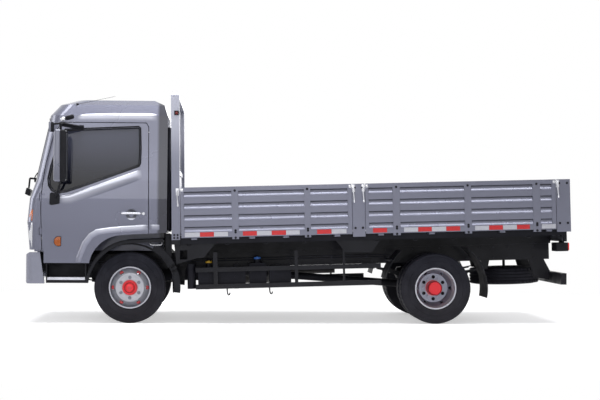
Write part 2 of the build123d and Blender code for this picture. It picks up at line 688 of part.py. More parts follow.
# Dashboard, seats and steering wheel
column_y = -610.0
column_top = Vector(front_axle - 560, column_y, 1460)
column_foot = Vector(front_axle - 800, column_y, 1230)
column_axis = (column_top - column_foot).normalized()
column_radius = 20.0
column_bearing = 110.0
wheel_plane = Plane(column_top, x_dir=(0, 1, 0), z_dir=column_axis)

with BuildPart() as dashboard:
    add(cab_form(cab_wall + seat_gap))
    with BuildSketch(side(870)):
        with BuildLine():
            Polyline((-1200, 1010), (-820, 980), (-740, 1180), (-760, 1330))
            ThreePointArc((-760, 1330), (-800, 1400), (-880, 1420))
            Polyline((-880, 1420), (-1200, 1400), (-1200, 1010))
        make_face()
    extrude(amount=1740, mode=Mode.INTERSECT)
    with BuildSketch(wheel_plane.offset(-column_bearing)):
        Circle(column_radius + 12)
    extrude(amount=-220)
    with BuildSketch(wheel_plane.offset(-column_bearing)):
        Circle(column_radius + 0.6)
    extrude(amount=-100, mode=Mode.SUBTRACT)
keep(dashboard, "dashboard")

with BuildPart() as steering_wheel:
    with BuildSketch(Plane(column_top, x_dir=(0, 1, 0), z_dir=wheel_plane.y_dir)):
        with Locations((210, 0)):
            RegularPolygon(15, 10)
    revolve(axis=Axis(column_top, column_axis))
    with BuildSketch(wheel_plane.offset(-25)):
        Circle(62)
        for angle in (0, 90, 180):
            with Locations(Location((0, 0), angle)):
                with Locations((105, 0)):
                    Rectangle(204, 34)
    extrude(amount=20)
    with BuildSketch(wheel_plane.offset(-24)):
        Circle(column_radius)
    extrude(amount=-(column_bearing + 70))
keep(steering_wheel, "steering_wheel")

# columns: middle of the seat to the right, width
seat_table = ((column_y, 500), (-column_y, 500))
seat_foot = seat_deck_height + cab_floor + seat_gap
seat_back_top = 1700.0
with BuildPart(level) as seats:
    for middle, width in seat_table:
        left = middle + width / 2
        slab(side(left), [(-420, seat_foot), (90, seat_foot), (90, 1150), (-400, 1180)], width, corner=18)
        slab(side(left), [(95, 1150), (60, seat_foot + 40), (80, seat_foot), (150, seat_foot), (235, 1150),
                          (335, seat_back_top), (220, seat_back_top)], width, corner=14)
        slab(side(middle + 140), [(235, seat_back_top + seat_gap), (325, seat_back_top + seat_gap),
                                  (330, 1860), (250, 1870)], 280, corner=14)
keep(seats, "seats")

# Mirrors, carried on the doors
with BuildPart(level) as mirror_arm:
    slab(side(-1070), [(-803, 1600), (-790, 1533), (-690, 1533), (-664, 1600), (-664, 2060),
                       (-690, 2095), (-780, 2095), (-803, 2060)], 180, corner=12)
    slab(side(-1085), [(-857, 2075), (-817, 2070), (-812, 2170), (-852, 2176)], 150, corner=8)
    rod((-840, -1160, 2160), (-735, -1160, 2160), 13)
    rod((-735, -1160, 2080), (-735, -1160, 2173), 13)
    rod((-735, -1168, 2160), (-540, -908, 2138), 13)
    rod((-540, -898.4, 2138), (-540, -916, 2138), 20)
    rod((-745, -1140, 1545), (-800, -990, 1375), 13)
    slab(side(-cab_half_width - 2.4), [(-870, 1290), (-765, 1300), (-765, 1400), (-850, 1425)], 14, corner=16)
    rod((-800, -980, 1370), (-800, -1000, 1370), 24)
keep_pair(mirror_arm, "mirror")

with BuildPart() as kerb_mirror:
    rod((-1000, 640, 1596), (-1104, 640, 1596), 22)
    rod((-1090, 640, 1606), (-1300, 640, 1616), 11)
    rod((-1298, 640, 1618), (-1310, 640, 1500), 11)
    slab(side(640 + 95), [(-kerb_mirror_reach, 1428), (-1290, 1400), (-1272, 1470), (-1325, 1506)],
         190, corner=8)
    add(cab_form(-seat_gap), mode=Mode.SUBTRACT)
keep(kerb_mirror, "kerb_mirror")

# Air intake behind the cab
with BuildPart(level) as air_intake:
    slab(side(-700), [(385, 725), (448, 725), (448, 970), (425, 980), (385, 980)], 190)
    rod((415, -rail_outer_y - seat_gap, 742), (415, -702, 742), 12)
keep(air_intake, "air_intake")

rear_gate_start = 2576.0
rear_gate_end = tailgate_outer - 166


def along_rear_gate(share):
    """The station at a share of the rear gate's length."""
    return rear_gate_start + share * (rear_gate_end - rear_gate_start)


# columns: share of the rear gate's length at a stake's middle, half its width
rear_stakes = tuple((along_rear_gate(share) - half, along_rear_gate(share) + half)
                    for share, half in ((0.1611, 40.0), (0.5364, 37.5), (0.8988, 42.0)))
rear_hinges = tuple(along_rear_gate(share) for share in (0.0779, 0.3441, 0.7148, 0.962))
# columns: name, first and last station, the stakes' first and last stations, the hinges' stations
gate_table = (
    ("front_gate", 562.0, 2425.0, ((1114, 1186), (1906, 1972)), (700, 1330, 1700, 2260)),
    ("rear_gate", rear_gate_start, rear_gate_end, rear_stakes, rear_hinges),
)
tailgate_hinges = (-800, -270, 270, 800)
hinge_y = bed_half_width - board_thickness / 2


def lug_starts(middle):
    """Where the two lugs start that stand at the ends of one hinge barrel."""
    return middle - hinge_half - lug_gap - lug_width, middle + hinge_half + lug_gap


# Bed floor with its rim, and the bearers and sills beneath it
floor_rear = tailgate_outer - board_thickness - 12
floor_front = bed_front + 0.9
lug_heights = (hinge_height - hinge_barrel_radius, hinge_height + hinge_barrel_radius)
with BuildPart(deck) as bed_floor:
    for _, _, _, _, hinges in gate_table:
        for station in hinges:
            for start in lug_starts(station):
                block((start, start + lug_width), (-hinge_y, -rim_outer_y + 1), lug_heights)
                rod((start, -hinge_y, hinge_height), (start + lug_width, -hinge_y, hinge_height),
                    hinge_barrel_radius, base=deck)
            rod((lug_starts(station)[0], -hinge_y, hinge_height),
                (lug_starts(station)[1] + lug_width, -hinge_y, hinge_height), hinge_pin_radius, base=deck)
    both_sides()
    for y in tailgate_hinges:
        for start in lug_starts(y):
            block((floor_rear - 1, tail_hinge_station), (start, start + lug_width), lug_heights)
            rod((tail_hinge_station, start, hinge_height), (tail_hinge_station, start + lug_width, hinge_height),
                hinge_barrel_radius, base=deck)
        rod((tail_hinge_station, lug_starts(y)[0], hinge_height),
            (tail_hinge_station, lug_starts(y)[1] + lug_width, hinge_height), hinge_pin_radius, base=deck)
    block((floor_front, floor_rear), (-rim_outer_y, rim_outer_y), (floor_top - floor_plate, floor_top))
    for y in (-rim_outer_y, rim_outer_y - 50):
        block((floor_front, floor_rear), (y, y + 50), (rim_bottom, floor_top))
    block((floor_rear - 40, floor_rear), (-rim_outer_y, rim_outer_y), (rear_sill_bottom, floor_top))
keep(bed_floor, "bed_floor")

bearer_count = 11
bearer_first = 620.0
bearer_last = tailgate_outer - 156
with BuildPart(deck) as bed_bearers:
    for y in (-rail_outer_y, rail_outer_y - rail_flange):
        block((bed_front - 80, floor_rear - 42), (y, y + rail_flange),
              (rail_top + seat_gap, rim_bottom - seat_gap))
    for bearer in range(bearer_count):
        station = bearer_first + (bearer_last - bearer_first) * bearer / (bearer_count - 1)
        block((station - 25, station + 25), (-rim_outer_y + 50 + seat_gap, rim_outer_y - 50 - seat_gap),
              (rim_bottom, floor_top - floor_plate - seat_gap))
    block((bed_front - 92, bed_front - seat_gap), (-bed_half_width, bed_half_width), (rim_bottom, 916))
    gusset_top = rim_bottom - seat_gap
    for plate_y in (-gusset_y + gusset_wall, gusset_y):
        plane = side(plate_y, deck)
        slab(plane, [(480, gusset_top), (500, 652), (729, 712), (800, 716), (925, gusset_top)], gusset_wall)
        slab(plane, [(540, 700), (620, 700), (620, 800), (540, 800)], gusset_wall, mode=Mode.SUBTRACT)
        slab(plane, [(2248, gusset_top), (2345, 735), (2640, 728), (2740, gusset_top)], gusset_wall)
keep(bed_bearers, "bed_bearers")

# Headboard: two pillars, a top beam, a lower sheet and upper bars
pillar_front = bed_front - pillar_width
pillar_deep = 60
with BuildPart(head) as headboard:
    with BuildSketch(across(pillar_front, head)) as front_view:
        with BuildLine():
            FilletPolyline((-bed_half_width, 880), (-bed_half_width, headboard_top),
                           (bed_half_width, headboard_top), (bed_half_width, 880), radius=70)
            Line((bed_half_width, 880), (-bed_half_width, 880))
        make_face()
        with Locations((0, (headboard_top - 80 + 880) / 2)):
            Rectangle(2 * (bed_half_width - pillar_deep), headboard_top - 80 - 880, mode=Mode.SUBTRACT)
    extrude(amount=pillar_width)
    sheet_x = pillar_front + 30
    width_in = bed_half_width - pillar_deep + 1
    block((sheet_x, sheet_x + 30), (-width_in, width_in), (floor_top + 4, 1650))
    block((sheet_x - 10, sheet_x + 40), (-width_in, width_in), (1640, 1690))
    for bar in range(-8, 9):
        block((sheet_x, sheet_x + 24), (bar * 114 - 12, bar * 114 + 12), (1688, headboard_top - 78))
    split(bisect_by=flat(916 + seat_gap, deck), keep=Keep.TOP)
keep(headboard, "headboard")

# Fixed posts between and behind the side gates
mid_post = (2433.0, 2568.0)
rear_post = (tailgate_outer - 158, tailgate_outer - 4)
with BuildPart(deck) as bed_posts:
    block(mid_post, (-bed_half_width, -rim_outer_y - seat_gap), (904, board_top))
    block(rear_post, (-bed_half_width, -rim_outer_y - seat_gap), (904, board_top))
    block((rear_post[1] - 34, rear_post[1]), (-rim_outer_y - 1, -rim_outer_y + 12), (904, board_top))
    both_sides()
keep(bed_posts, "bed_posts")

# Side gates: a frame, a corrugated sheet and stakes, hinged along the bottom
outer = bed_half_width
inner_face = bed_half_width - board_thickness
recess_first = 1024.0
recess_height = 62.0
recess_bevel = 12.0


def corrugated(y_sign):
    """Points of the ribbed outer face, from the bottom up, as widths and heights."""
    points = []
    for recess in range(4):
        low = recess_first + recess * corrugation_pitch - recess_height / 2
        high = low + recess_height
        points += [(y_sign * (outer - 4), low), (y_sign * (outer - 4 - corrugation_depth), low + recess_bevel),
                   (y_sign * (outer - 4 - corrugation_depth), high - recess_bevel), (y_sign * (outer - 4), high)]
    return points


for gate_name, first, last, stakes, hinges in gate_table:
    with BuildPart(deck) as gate:
        face = corrugated(-1)
        with BuildSketch(across(first + 20, deck)):
            Polygon((-inner_face, board_bottom + 10), (-outer + 4, board_bottom + 10), *face,
                    (-outer + 4, board_top - 10), (-inner_face, board_top - 10), align=None)
        extrude(amount=last - first - 40)
        block((first, last), (-outer, -inner_face), (board_top - 45, board_top))
        block((first, last), (-outer, -inner_face), (board_bottom, board_bottom + 45))
        for low, high in ((first, first + 34), (last - 44, last)):
            block((low, high), (-outer, -inner_face), (board_bottom, board_top))
        for low, high in stakes:
            block((low, high), (-outer, -inner_face), (stake_bottom, board_top))
        with BuildSketch(side(-inner_face - 4, deck)):
            for low, high in stakes:
                with Locations(((low + high) / 2, board_top - 45), ((low + high) / 2, board_bottom + 50)):
                    Circle(9)
        extrude(amount=board_thickness, mode=Mode.SUBTRACT)
        for station in hinges:
            near = (station - hinge_half, -hinge_y, hinge_height)
            far = (station + hinge_half, -hinge_y, hinge_height)
            rod(near, far, hinge_barrel_radius, base=deck)
            block((near[0], far[0]), (-hinge_y - 4, -hinge_y + 4), (hinge_height, board_bottom + 1))
            rod(near, far, hinge_pin_radius + seat_gap, base=deck, mode=Mode.SUBTRACT)
    keep_pair(gate, gate_name)

tail_y = rim_outer_y - 18
tail_inner = tailgate_outer - 4 - board_thickness
with BuildPart(deck) as tailgate:
    with BuildSketch(side(-tail_y + 20, deck)):
        shift = tailgate_outer - 4 - outer
        Polygon((tail_inner, board_bottom + 10), (tailgate_outer - 8, board_bottom + 10),
                *[(depth + shift, height) for depth, height in corrugated(1)],
                (tailgate_outer - 8, board_top - 10), (tail_inner, board_top - 10), align=None)
    extrude(amount=-2 * (tail_y - 20))
    for z in (board_bottom, board_top - 45):
        block((tail_inner, tailgate_outer - 4), (-tail_y, tail_y), (z, z + 45))
    for y in (-tail_y, -350, 310, tail_y - 40):
        block((tail_inner, tailgate_outer - 4), (y, y + 40), (board_bottom, board_top))
    for y in tailgate_hinges:
        near = (tail_hinge_station, y - hinge_half, hinge_height)
        far = (tail_hinge_station, y + hinge_half, hinge_height)
        rod(near, far, hinge_barrel_radius, base=deck)
        block((tail_hinge_station - 4, tail_hinge_station + 4), (near[1], far[1]),
              (hinge_height, board_bottom + 1))
        rod(near, far, hinge_pin_radius + seat_gap, base=deck, mode=Mode.SUBTRACT)
keep(tailgate, "tailgate")

# Side guards: two rails on posts
guard_y = gusset_y - gusset_wall - seat_gap
guard_end = wheelbase - 625
with BuildPart(deck) as side_guards:
    for low, high in ((555, 605), (370, 422)):
        block((705, guard_end), (-guard_y, -guard_y + 30), (low, high))
    for low, high in ((900, 946), (1788, 1824), (guard_end - 417, guard_end - 395)):
        block((low, high), (-guard_y, -guard_y + 30), (370, 770))
    both_sides()
keep(side_guards, "side_guards")

# Rear mudguards and the flaps behind the front wheels, one on each quarter
with BuildPart(level) as mudguards:
    guard_radius, sheet = 566.0, 6.0
    # columns: axle station, first and last angle, inner and outer width, radius
    for station, start, sweep, near, far, radius in ((wheelbase, 133, 36, 505, 985, guard_radius),
                                                     (wheelbase, -10, 62, 505, 985, guard_radius),
                                                     (0, -6, 46, 470, 925, 490.0)):
        with BuildSketch(side(-near)):
            with BuildLine():
                CenterArc((station, tyre_radius), radius, start, sweep)
                CenterArc((station, tyre_radius), radius + sheet, start, sweep)
                for angle in (start, start + sweep):
                    Line((station + radius * cos(radians(angle)), tyre_radius + radius * sin(radians(angle))),
                         (station + (radius + sheet) * cos(radians(angle)),
                          tyre_radius + (radius + sheet) * sin(radians(angle))))
            make_face()
        extrude(amount=far - near)
    # columns: station and height of each carrying arm
    for station, height in ((wheelbase - 495, 700), (wheelbase + 470, 735), (432, 640)):
        rod((station, -rail_outer_y - seat_gap, height), (station, -900, height), 14)
    both_sides()
keep(mudguards, "mudguards")

# Fuel tank, the smaller tanks beside it, and the silencer on the other side
with BuildPart(deck) as fuel_tank:
    slab(side(-540, deck), [(730, 370), (1250, 370), (1250, 595), (730, 595)], 390, corner=40)
    rod((850, -820, 590), (850, -820, 650), 34, base=deck)
    for station in (830, 1150):
        block((station - 20, station + 20), (-545, -rail_outer_y - seat_gap), (590, 620))
        block((station - 22, station + 22), (-934, -536), (366, 599))
keep(fuel_tank, "fuel_tank")

with BuildPart(deck) as side_tanks:
    slab(side(-600, deck), [(1290, 390), (1480, 390), (1480, 640), (1290, 640)], 300, corner=30)
    rod((1385, -800, 636), (1385, -800, 680), 40, base=deck)
    slab(side(-560, deck), [(1510, 370), (1750, 370), (1750, 600), (1510, 600)], 360, corner=16)
    rod((660, -900, 376), (660, -900, 648), 47, base=deck)
    block((1380, 1400), (-610, -rail_outer_y - seat_gap), (590, 640))
    block((1600, 1640), (-570, -rail_outer_y - seat_gap), (590, 600))
    block((650, 670), (-900, -rail_outer_y - seat_gap), (600, 630))
keep(side_tanks, "side_tanks")

with BuildPart(deck) as silencer:
    rod((900, 620, 480), (1700, 620, 480), 130, base=deck)
    rod((1700, 620, 480), (2350, 620, 480), 32, base=deck)
    for station in (1000, 1600):
        block((station - 15, station + 15), (rail_outer_y + seat_gap, 620), (590, 622))
keep(silencer, "silencer")

# Spare wheel, flat under the frame's tail, with its carrier
spare_station = tailgate_outer - 556
spare_height = 401.0
with BuildPart(deck) as spare_wheel:
    with Locations((spare_station, 0, spare_height)):
        Cylinder(402, 200)
        Cylinder(rim_radius, 300, mode=Mode.SUBTRACT)
        Cylinder(rim_radius, 150)
        Cylinder(barrel_inner, 300, mode=Mode.SUBTRACT)
    with Locations((spare_station, 0, spare_height + 60)):
        Cylinder(barrel_inner + 1, 14)
keep(spare_wheel, "spare_wheel")

with BuildPart(deck) as spare_carrier:
    carrier_half = rail_outer_y - rail_wall - seat_gap
    carrier_top = rail_top - rail_height + 60
    rod((spare_station, 0, spare_height + 67.3), (spare_station, 0, carrier_top), 16, base=deck)
    block((spare_station - 40, spare_station + 40), (-carrier_half, carrier_half),
          (rail_top - rail_height + rail_wall + seat_gap, carrier_top))
keep(spare_carrier, "spare_carrier")

# Underrun bar with its arms, and the tail lamps
with BuildPart(level) as underrun_bar:
    block((tailgate_outer - 92, tailgate_outer - 30), (-950, 950), (440, 566))
    arm_y = rail_outer_y - rail_wall - seat_gap
    arm_wall = 16.0
    arm_top = rail_top - rail_height - seat_gap
    slab(side(-arm_y + arm_wall, deck),
         [(tailgate_outer - 346, arm_top), (tailgate_outer - 288, 383), (tailgate_outer - 96, 347),
          (tailgate_outer - 91, 437), (tailgate_outer - 166, arm_top)], arm_wall)
    both_sides()
keep(underrun_bar, "underrun_bar")

lamp_bottom, lamp_top = 687.0, 782.0
with BuildPart(deck) as tail_lamps:
    block((tailgate_outer - 150, tailgate_outer - 19), (-960, -720), (lamp_bottom, lamp_top))
    block((floor_rear - 38, floor_rear - 4), (-900, -780), (lamp_top - 1, rear_sill_bottom - seat_gap))
    both_sides()
keep(tail_lamps, "tail_lamps")
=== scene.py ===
"""Looks of a flatbed truck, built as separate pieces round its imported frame.

Metres. +X runs to the rear, +Y to the truck's right, +Z up from the ground. Places in the
tables are stations (from the front axle to the rear), widths and heights in millimetres.
"""
import json
import math

import bmesh
import bpy
from mathutils import Matrix, Vector
from mathutils.bvhtree import BVHTree


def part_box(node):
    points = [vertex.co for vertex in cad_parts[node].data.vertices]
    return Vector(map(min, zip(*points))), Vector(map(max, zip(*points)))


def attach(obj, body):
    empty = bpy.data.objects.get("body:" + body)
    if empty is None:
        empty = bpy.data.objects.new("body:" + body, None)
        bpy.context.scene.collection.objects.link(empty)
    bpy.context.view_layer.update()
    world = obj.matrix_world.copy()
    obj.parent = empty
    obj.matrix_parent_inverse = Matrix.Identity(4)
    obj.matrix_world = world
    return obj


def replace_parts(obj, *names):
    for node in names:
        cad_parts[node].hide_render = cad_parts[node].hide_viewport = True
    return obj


bl_info = {
    "name": "Flatbed truck looks",
    "version": (1, 0, 0),
    "blender": (4, 5, 0),
    "location": "3D View > Sidebar > Truck",
    "description": "Builds the visible pieces and finishes of a flatbed truck round its frame",
    "category": "Object",
}

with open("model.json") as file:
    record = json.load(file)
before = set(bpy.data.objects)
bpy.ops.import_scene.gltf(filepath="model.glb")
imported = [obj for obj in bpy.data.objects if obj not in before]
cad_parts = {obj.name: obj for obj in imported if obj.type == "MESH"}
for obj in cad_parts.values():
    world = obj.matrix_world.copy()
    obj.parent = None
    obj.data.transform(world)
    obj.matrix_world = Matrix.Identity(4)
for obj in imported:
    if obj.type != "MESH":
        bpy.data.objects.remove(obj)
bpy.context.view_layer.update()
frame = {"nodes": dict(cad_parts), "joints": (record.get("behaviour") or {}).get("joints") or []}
joints = {joint["name"]: joint for joint in frame["joints"]}
front_axle = joints["steer_left"]["pos_m"][0]
wheelbase = (joints["rear_spin_left"]["pos_m"][0] - front_axle) * 1000
rake = math.asin(abs(Vector(joints["front_gate_left_fold"]["axis"]).normalized().z))
axle_height = joints["front_spin_left"]["pos_m"][2] * 1000
rake_station, rake_height = 561.0, 929.0
off_side = -1500.0          # a width clear of the truck's left side
far_off = 3000.0            # where lines that look for a surface start
left_of_truck = Vector((0, -1, 0))
up = Vector((0, 0, 1))
rear = Vector((1, 0, 0))


def at(station, width, height):
    """A point of the level system, in metres."""
    return Vector((front_axle + station / 1000, width / 1000, height / 1000))


turning_point = Matrix.Translation(at(rake_station, 0, rake_height))
raked = turning_point @ Matrix.Rotation(-rake, 4, "Y") @ turning_point.inverted()


def srgb(*values):
    """A colour of 0 to 255 as the linear colour that a shader takes."""
    shares = [value / 255 for value in values]
    return tuple(s / 12.92 if s <= 0.04045 else ((s + 0.055) / 1.055) ** 2.4 for s in shares) + (1.0,)


# Finishes
def tree_of(name):
    """A new node material: its nodes, its links and its surface shader."""
    look = bpy.data.materials.new(name)
    look.use_nodes = True
    nodes, links = look.node_tree.nodes, look.node_tree.links
    return look, nodes, links, nodes["Principled BSDF"]


def noise_of(nodes, links, scale, detail=3.0, stretch=(1, 1, 1)):
    """A noise on the piece's own coordinates, stretched along an axis if asked."""
    place = nodes.new("ShaderNodeTexCoord")
    mapping = nodes.new("ShaderNodeMapping")
    mapping.inputs["Scale"].default_value = stretch
    noise = nodes.new("ShaderNodeTexNoise")
    noise.inputs["Scale"].default_value = scale
    noise.inputs["Detail"].default_value = detail
    links.new(place.outputs["Object"], mapping.inputs["Vector"])
    links.new(mapping.outputs["Vector"], noise.inputs["Vector"])
    return noise.outputs["Fac"]


def coordinate(nodes, links, axis):
    """One of the piece's own coordinates."""
    place = nodes.new("ShaderNodeTexCoord")
    parts = nodes.new("ShaderNodeSeparateXYZ")
    links.new(place.outputs["Object"], parts.inputs["Vector"])
    return parts.outputs[axis]


def radius_from(nodes, links, centre):
    """The distance from an axis that runs across the truck through a point."""
    place = nodes.new("ShaderNodeTexCoord")
    mapping = nodes.new("ShaderNodeMapping")
    mapping.inputs["Location"].default_value = [-c for c in centre]
    flatten = nodes.new("ShaderNodeVectorMath")
    flatten.operation = "MULTIPLY"
    flatten.inputs[1].default_value = (1, 0, 1)
    length = nodes.new("ShaderNodeVectorMath")
    length.operation = "LENGTH"
    links.new(place.outputs["Object"], mapping.inputs["Vector"])
    links.new(mapping.outputs["Vector"], flatten.inputs[0])
    links.new(flatten.outputs["Vector"], length.inputs[0])
    return length.outputs["Value"]


def combined(nodes, links, operation, first, second):
    """Two values carried into one."""
    sum_node = nodes.new("ShaderNodeMath")
    sum_node.operation = operation
    links.new(first, sum_node.inputs[0])
    links.new(second, sum_node.inputs[1])
    return sum_node.outputs["Value"]


def relief_on(nodes, links, height, strength, distance=0.001):
    """Lays a fine relief over a finish."""
    bump = nodes.new("ShaderNodeBump")
    bump.inputs["Strength"].default_value = strength
    bump.inputs["Distance"].default_value = distance
    links.new(height, bump.inputs["Height"])
    links.new(bump.outputs["Normal"], nodes["Principled BSDF"].inputs["Normal"])


def span(nodes, links, value, low, high, first=0.3, last=0.7):
    """A value carried from one range to another."""
    spread = nodes.new("ShaderNodeMapRange")
    spread.interpolation_type = "SMOOTHSTEP"
    spread.inputs["From Min"].default_value = first
    spread.inputs["From Max"].default_value = last
    spread.inputs["To Min"].default_value = low
    spread.inputs["To Max"].default_value = high
    links.new(value, spread.inputs["Value"])
    return spread.outputs["Result"]


def blend_colours(nodes, links, share, first, second):
    """Two colours, or colour outputs, mixed by a share."""
    mix = nodes.new("ShaderNodeMix")
    mix.data_type = "RGBA"
    for socket, colour in (("A", first), ("B", second)):
        target = next(i for i in mix.inputs if i.name == socket and i.type == "RGBA")
        if isinstance(colour, tuple):
            target.default_value = colour
        else:
            links.new(colour, target)
    links.new(share, mix.inputs["Factor"])
    return next(o for o in mix.outputs if o.type == "RGBA")


def darker(colour, share):
    """A colour brought down to a share of itself."""
    return tuple(c * share for c in colour[:3]) + (1.0,)


def surface(name, colour, shade, patch, rough, metal, grain, relief, coat=0.0, dust=0.0):
    """An opaque finish: uneven colour, uneven gloss, a fine relief and road dust low down."""
    look, nodes, links, shader = tree_of(name)
    uneven = noise_of(nodes, links, patch, 5.0)
    tint = blend_colours(nodes, links, span(nodes, links, uneven, 0.0, 1.0), colour, darker(colour, shade))
    if dust:
        low = span(nodes, links, coordinate(nodes, links, "Z"), dust, 0.0, 0.05, 0.8)
        tint = blend_colours(nodes, links, low, tint, srgb(118, 112, 108))
    links.new(tint, shader.inputs["Base Color"])
    links.new(span(nodes, links, uneven, *rough), shader.inputs["Roughness"])
    relief_on(nodes, links, noise_of(nodes, links, grain, 2.0), relief * 10)
    shader.inputs["Metallic"].default_value = metal
    shader.inputs["Coat Weight"].default_value = coat
    shader.inputs["Coat Roughness"].default_value = 0.06
    return look


def masked(look, axis, limits, colour, soft=0.002, centre=None):
    """Lays a colour over a finish between two values of one coordinate, or of the radius."""
    nodes, links = look.node_tree.nodes, look.node_tree.links
    base = nodes["Principled BSDF"].inputs["Base Color"]
    under = base.links[0].from_socket
    value = radius_from(nodes, links, centre) if axis == "R" else coordinate(nodes, links, axis)
    above = span(nodes, links, value, 0.0, 1.0, limits[0] - soft, limits[0] + soft)
    below = span(nodes, links, value, 1.0, 0.0, limits[1] - soft, limits[1] + soft)
    between = combined(nodes, links, "MULTIPLY", above, below)
    links.new(blend_colours(nodes, links, between, under, colour), base)
    return look


def clear(name, colour, rough=0.02, glow=None):
    """Glass or a clear lens, with faint streaks in its gloss."""
    look, nodes, links, shader = tree_of(name)
    streaks = noise_of(nodes, links, 9.0, 4.0, (1, 1, 6))
    links.new(blend_colours(nodes, links, span(nodes, links, streaks, 0.0, 1.0), colour, darker(colour, 0.9)),
              shader.inputs["Base Color"])
    links.new(span(nodes, links, streaks, rough, rough + 0.03), shader.inputs["Roughness"])
    shader.inputs["Transmission Weight"].default_value = 1.0
    shader.inputs["IOR"].default_value = 1.45
    if glow:
        shader.inputs["Emission Color"].default_value = colour
        shader.inputs["Emission Strength"].default_value = glow
    return look


def dark_glass(name, sky_reflection_colour, low_colour):
    """Tinted window glass: a painted reflection of the sky makes it pale high up, fading to its dark tint
    towards its foot.
    """
    look = clear(name, sky_reflection_colour, 0.01)
    nodes, links = look.node_tree.nodes, look.node_tree.links
    shader = nodes["Principled BSDF"]
    share = span(nodes, links, coordinate(nodes, links, "Z"), 1.0, 0.0, 1.45, 2.15)
    links.new(blend_colours(nodes, links, share, sky_reflection_colour, low_colour), shader.inputs["Base Color"])
    shader.inputs["Transmission Weight"].default_value = 0.25
    shader.inputs["IOR"].default_value = 1.36
    return look


def treadplate(name, colour):
    """Steel plate with a pressed pattern of short raised bars."""
    look = surface(name, colour, 0.75, 3.0, (0.35, 0.6), 0.7, 90.0, 0.02)
    nodes, links = look.node_tree.nodes, look.node_tree.links
    place = nodes.new("ShaderNodeTexCoord")
    mapping = nodes.new("ShaderNodeMapping")
    mapping.inputs["Scale"].default_value = (28, 28, 28)
    mapping.inputs["Rotation"].default_value = (0, 0, math.radians(45))
    cells = nodes.new("ShaderNodeTexBrick")
    cells.inputs["Scale"].default_value = 1.0
    cells.inputs["Mortar Size"].default_value = 0.16
    links.new(place.outputs["Object"], mapping.inputs["Vector"])
    links.new(mapping.outputs["Vector"], cells.inputs["Vector"])
    relief_on(nodes, links, cells.outputs["Fac"], 0.5, 0.002)
    return look


def woven(name, colour):
    """Seat cloth: crossed threads with a soft sheen."""
    look, nodes, links, shader = tree_of(name)
    warp, weft = (noise_of(nodes, links, 1.0, 1.0, stretch) for stretch in ((900, 60, 60), (60, 900, 900)))
    threads = combined(nodes, links, "MAXIMUM", warp, weft)
    share = span(nodes, links, threads, 0.0, 1.0, 0.4, 0.75)
    links.new(blend_colours(nodes, links, share, darker(colour, 0.55), colour), shader.inputs["Base Color"])
    relief_on(nodes, links, threads, 0.35)
    shader.inputs["Roughness"].default_value = 0.9
    shader.inputs["Sheen Weight"].default_value = 0.3
    return look


# Shapes
def round_off(bm, edges, bevel, segments):
    """Rounds edges."""
    bmesh.ops.bevel(bm, geom=list(edges), offset=bevel, offset_type="OFFSET", segments=segments, profile=0.5,
                    affect="EDGES", material=-1, clamp_overlap=True)


def block(bm, low, high, bevel=0.0, segments=2):
    """A box between two corners, in metres, with rounded edges if asked."""
    made = bmesh.ops.create_cube(bm, size=1)["verts"]
    bmesh.ops.scale(bm, vec=high - low, verts=made)
    bmesh.ops.translate(bm, vec=(high + low) / 2, verts=made)
    if bevel:
        round_off(bm, {edge for vert in made for edge in vert.link_edges}, bevel, segments)


def box(bm, stations, widths, heights, bevel=0.0, segments=2):
    """A box between two stations, two widths and two heights, in millimetres."""
    lows, highs = zip(*(sorted(pair) for pair in (stations, widths, heights)))
    block(bm, at(*lows), at(*highs), bevel, segments)


def plate(bm, corners, push, bevel=0.0, segments=2):
    """A plate: an outline's face, extruded along a vector, with rounded edges if asked."""
    face = bm.faces.new([bm.verts.new(corner) for corner in corners])
    before = set(bm.faces) - {face}
    made = bmesh.ops.extrude_face_region(bm, geom=[face])["geom"]
    bmesh.ops.translate(bm, vec=push, verts=[item for item in made if isinstance(item, bmesh.types.BMVert)])
    if bevel:
        round_off(bm, {edge for new in set(bm.faces) - before for edge in new.edges}, bevel, segments)


def side_plate(bm, outline, width, thickness, bevel=0.0):
    """A plate parallel to the truck's side, from (station, height) corners; it grows to the left."""
    plate(bm, [at(s, width, h) for s, h in outline], left_of_truck * thickness / 1000, bevel)


def bar(bm, start, end, radius, segments=16, tip=None):
    """A round bar between two points."""
    along = end - start
    turn = along.to_track_quat("Z", "Y").to_matrix().to_4x4()
    bmesh.ops.create_cone(bm, cap_ends=True, cap_tris=False, segments=segments, radius1=radius,
                          radius2=radius if tip is None else tip, depth=along.length,
                          matrix=Matrix.Translation((start + end) / 2) @ turn)


def bolt(bm, place, outward, radius=0.010, height=0.007):
    """A hexagon head on a washer, standing on a face."""
    bar(bm, place, place + outward * height * 0.25, radius * 1.35, 14)
    bar(bm, place + outward * height * 0.2, place + outward * height, radius, 6, radius * 0.92)


def turned(bm, profile, centre, axis, steps=48):
    """A shape turned about an axis from (distance along it, radius) pairs in millimetres."""
    across = axis.orthogonal().normalized()
    chain = [bm.verts.new(centre + axis * d / 1000 + across * r / 1000) for d, r in profile]
    edges = [bm.edges.new(pair) for pair in zip(chain, chain[1:])]
    before = set(bm.verts) - set(chain)
    bmesh.ops.spin(bm, geom=chain + edges, cent=centre, axis=axis, angle=math.tau, steps=steps,
                   use_merge=True)
    bmesh.ops.remove_doubles(bm, verts=list(set(bm.verts) - before), dist=1e-5)


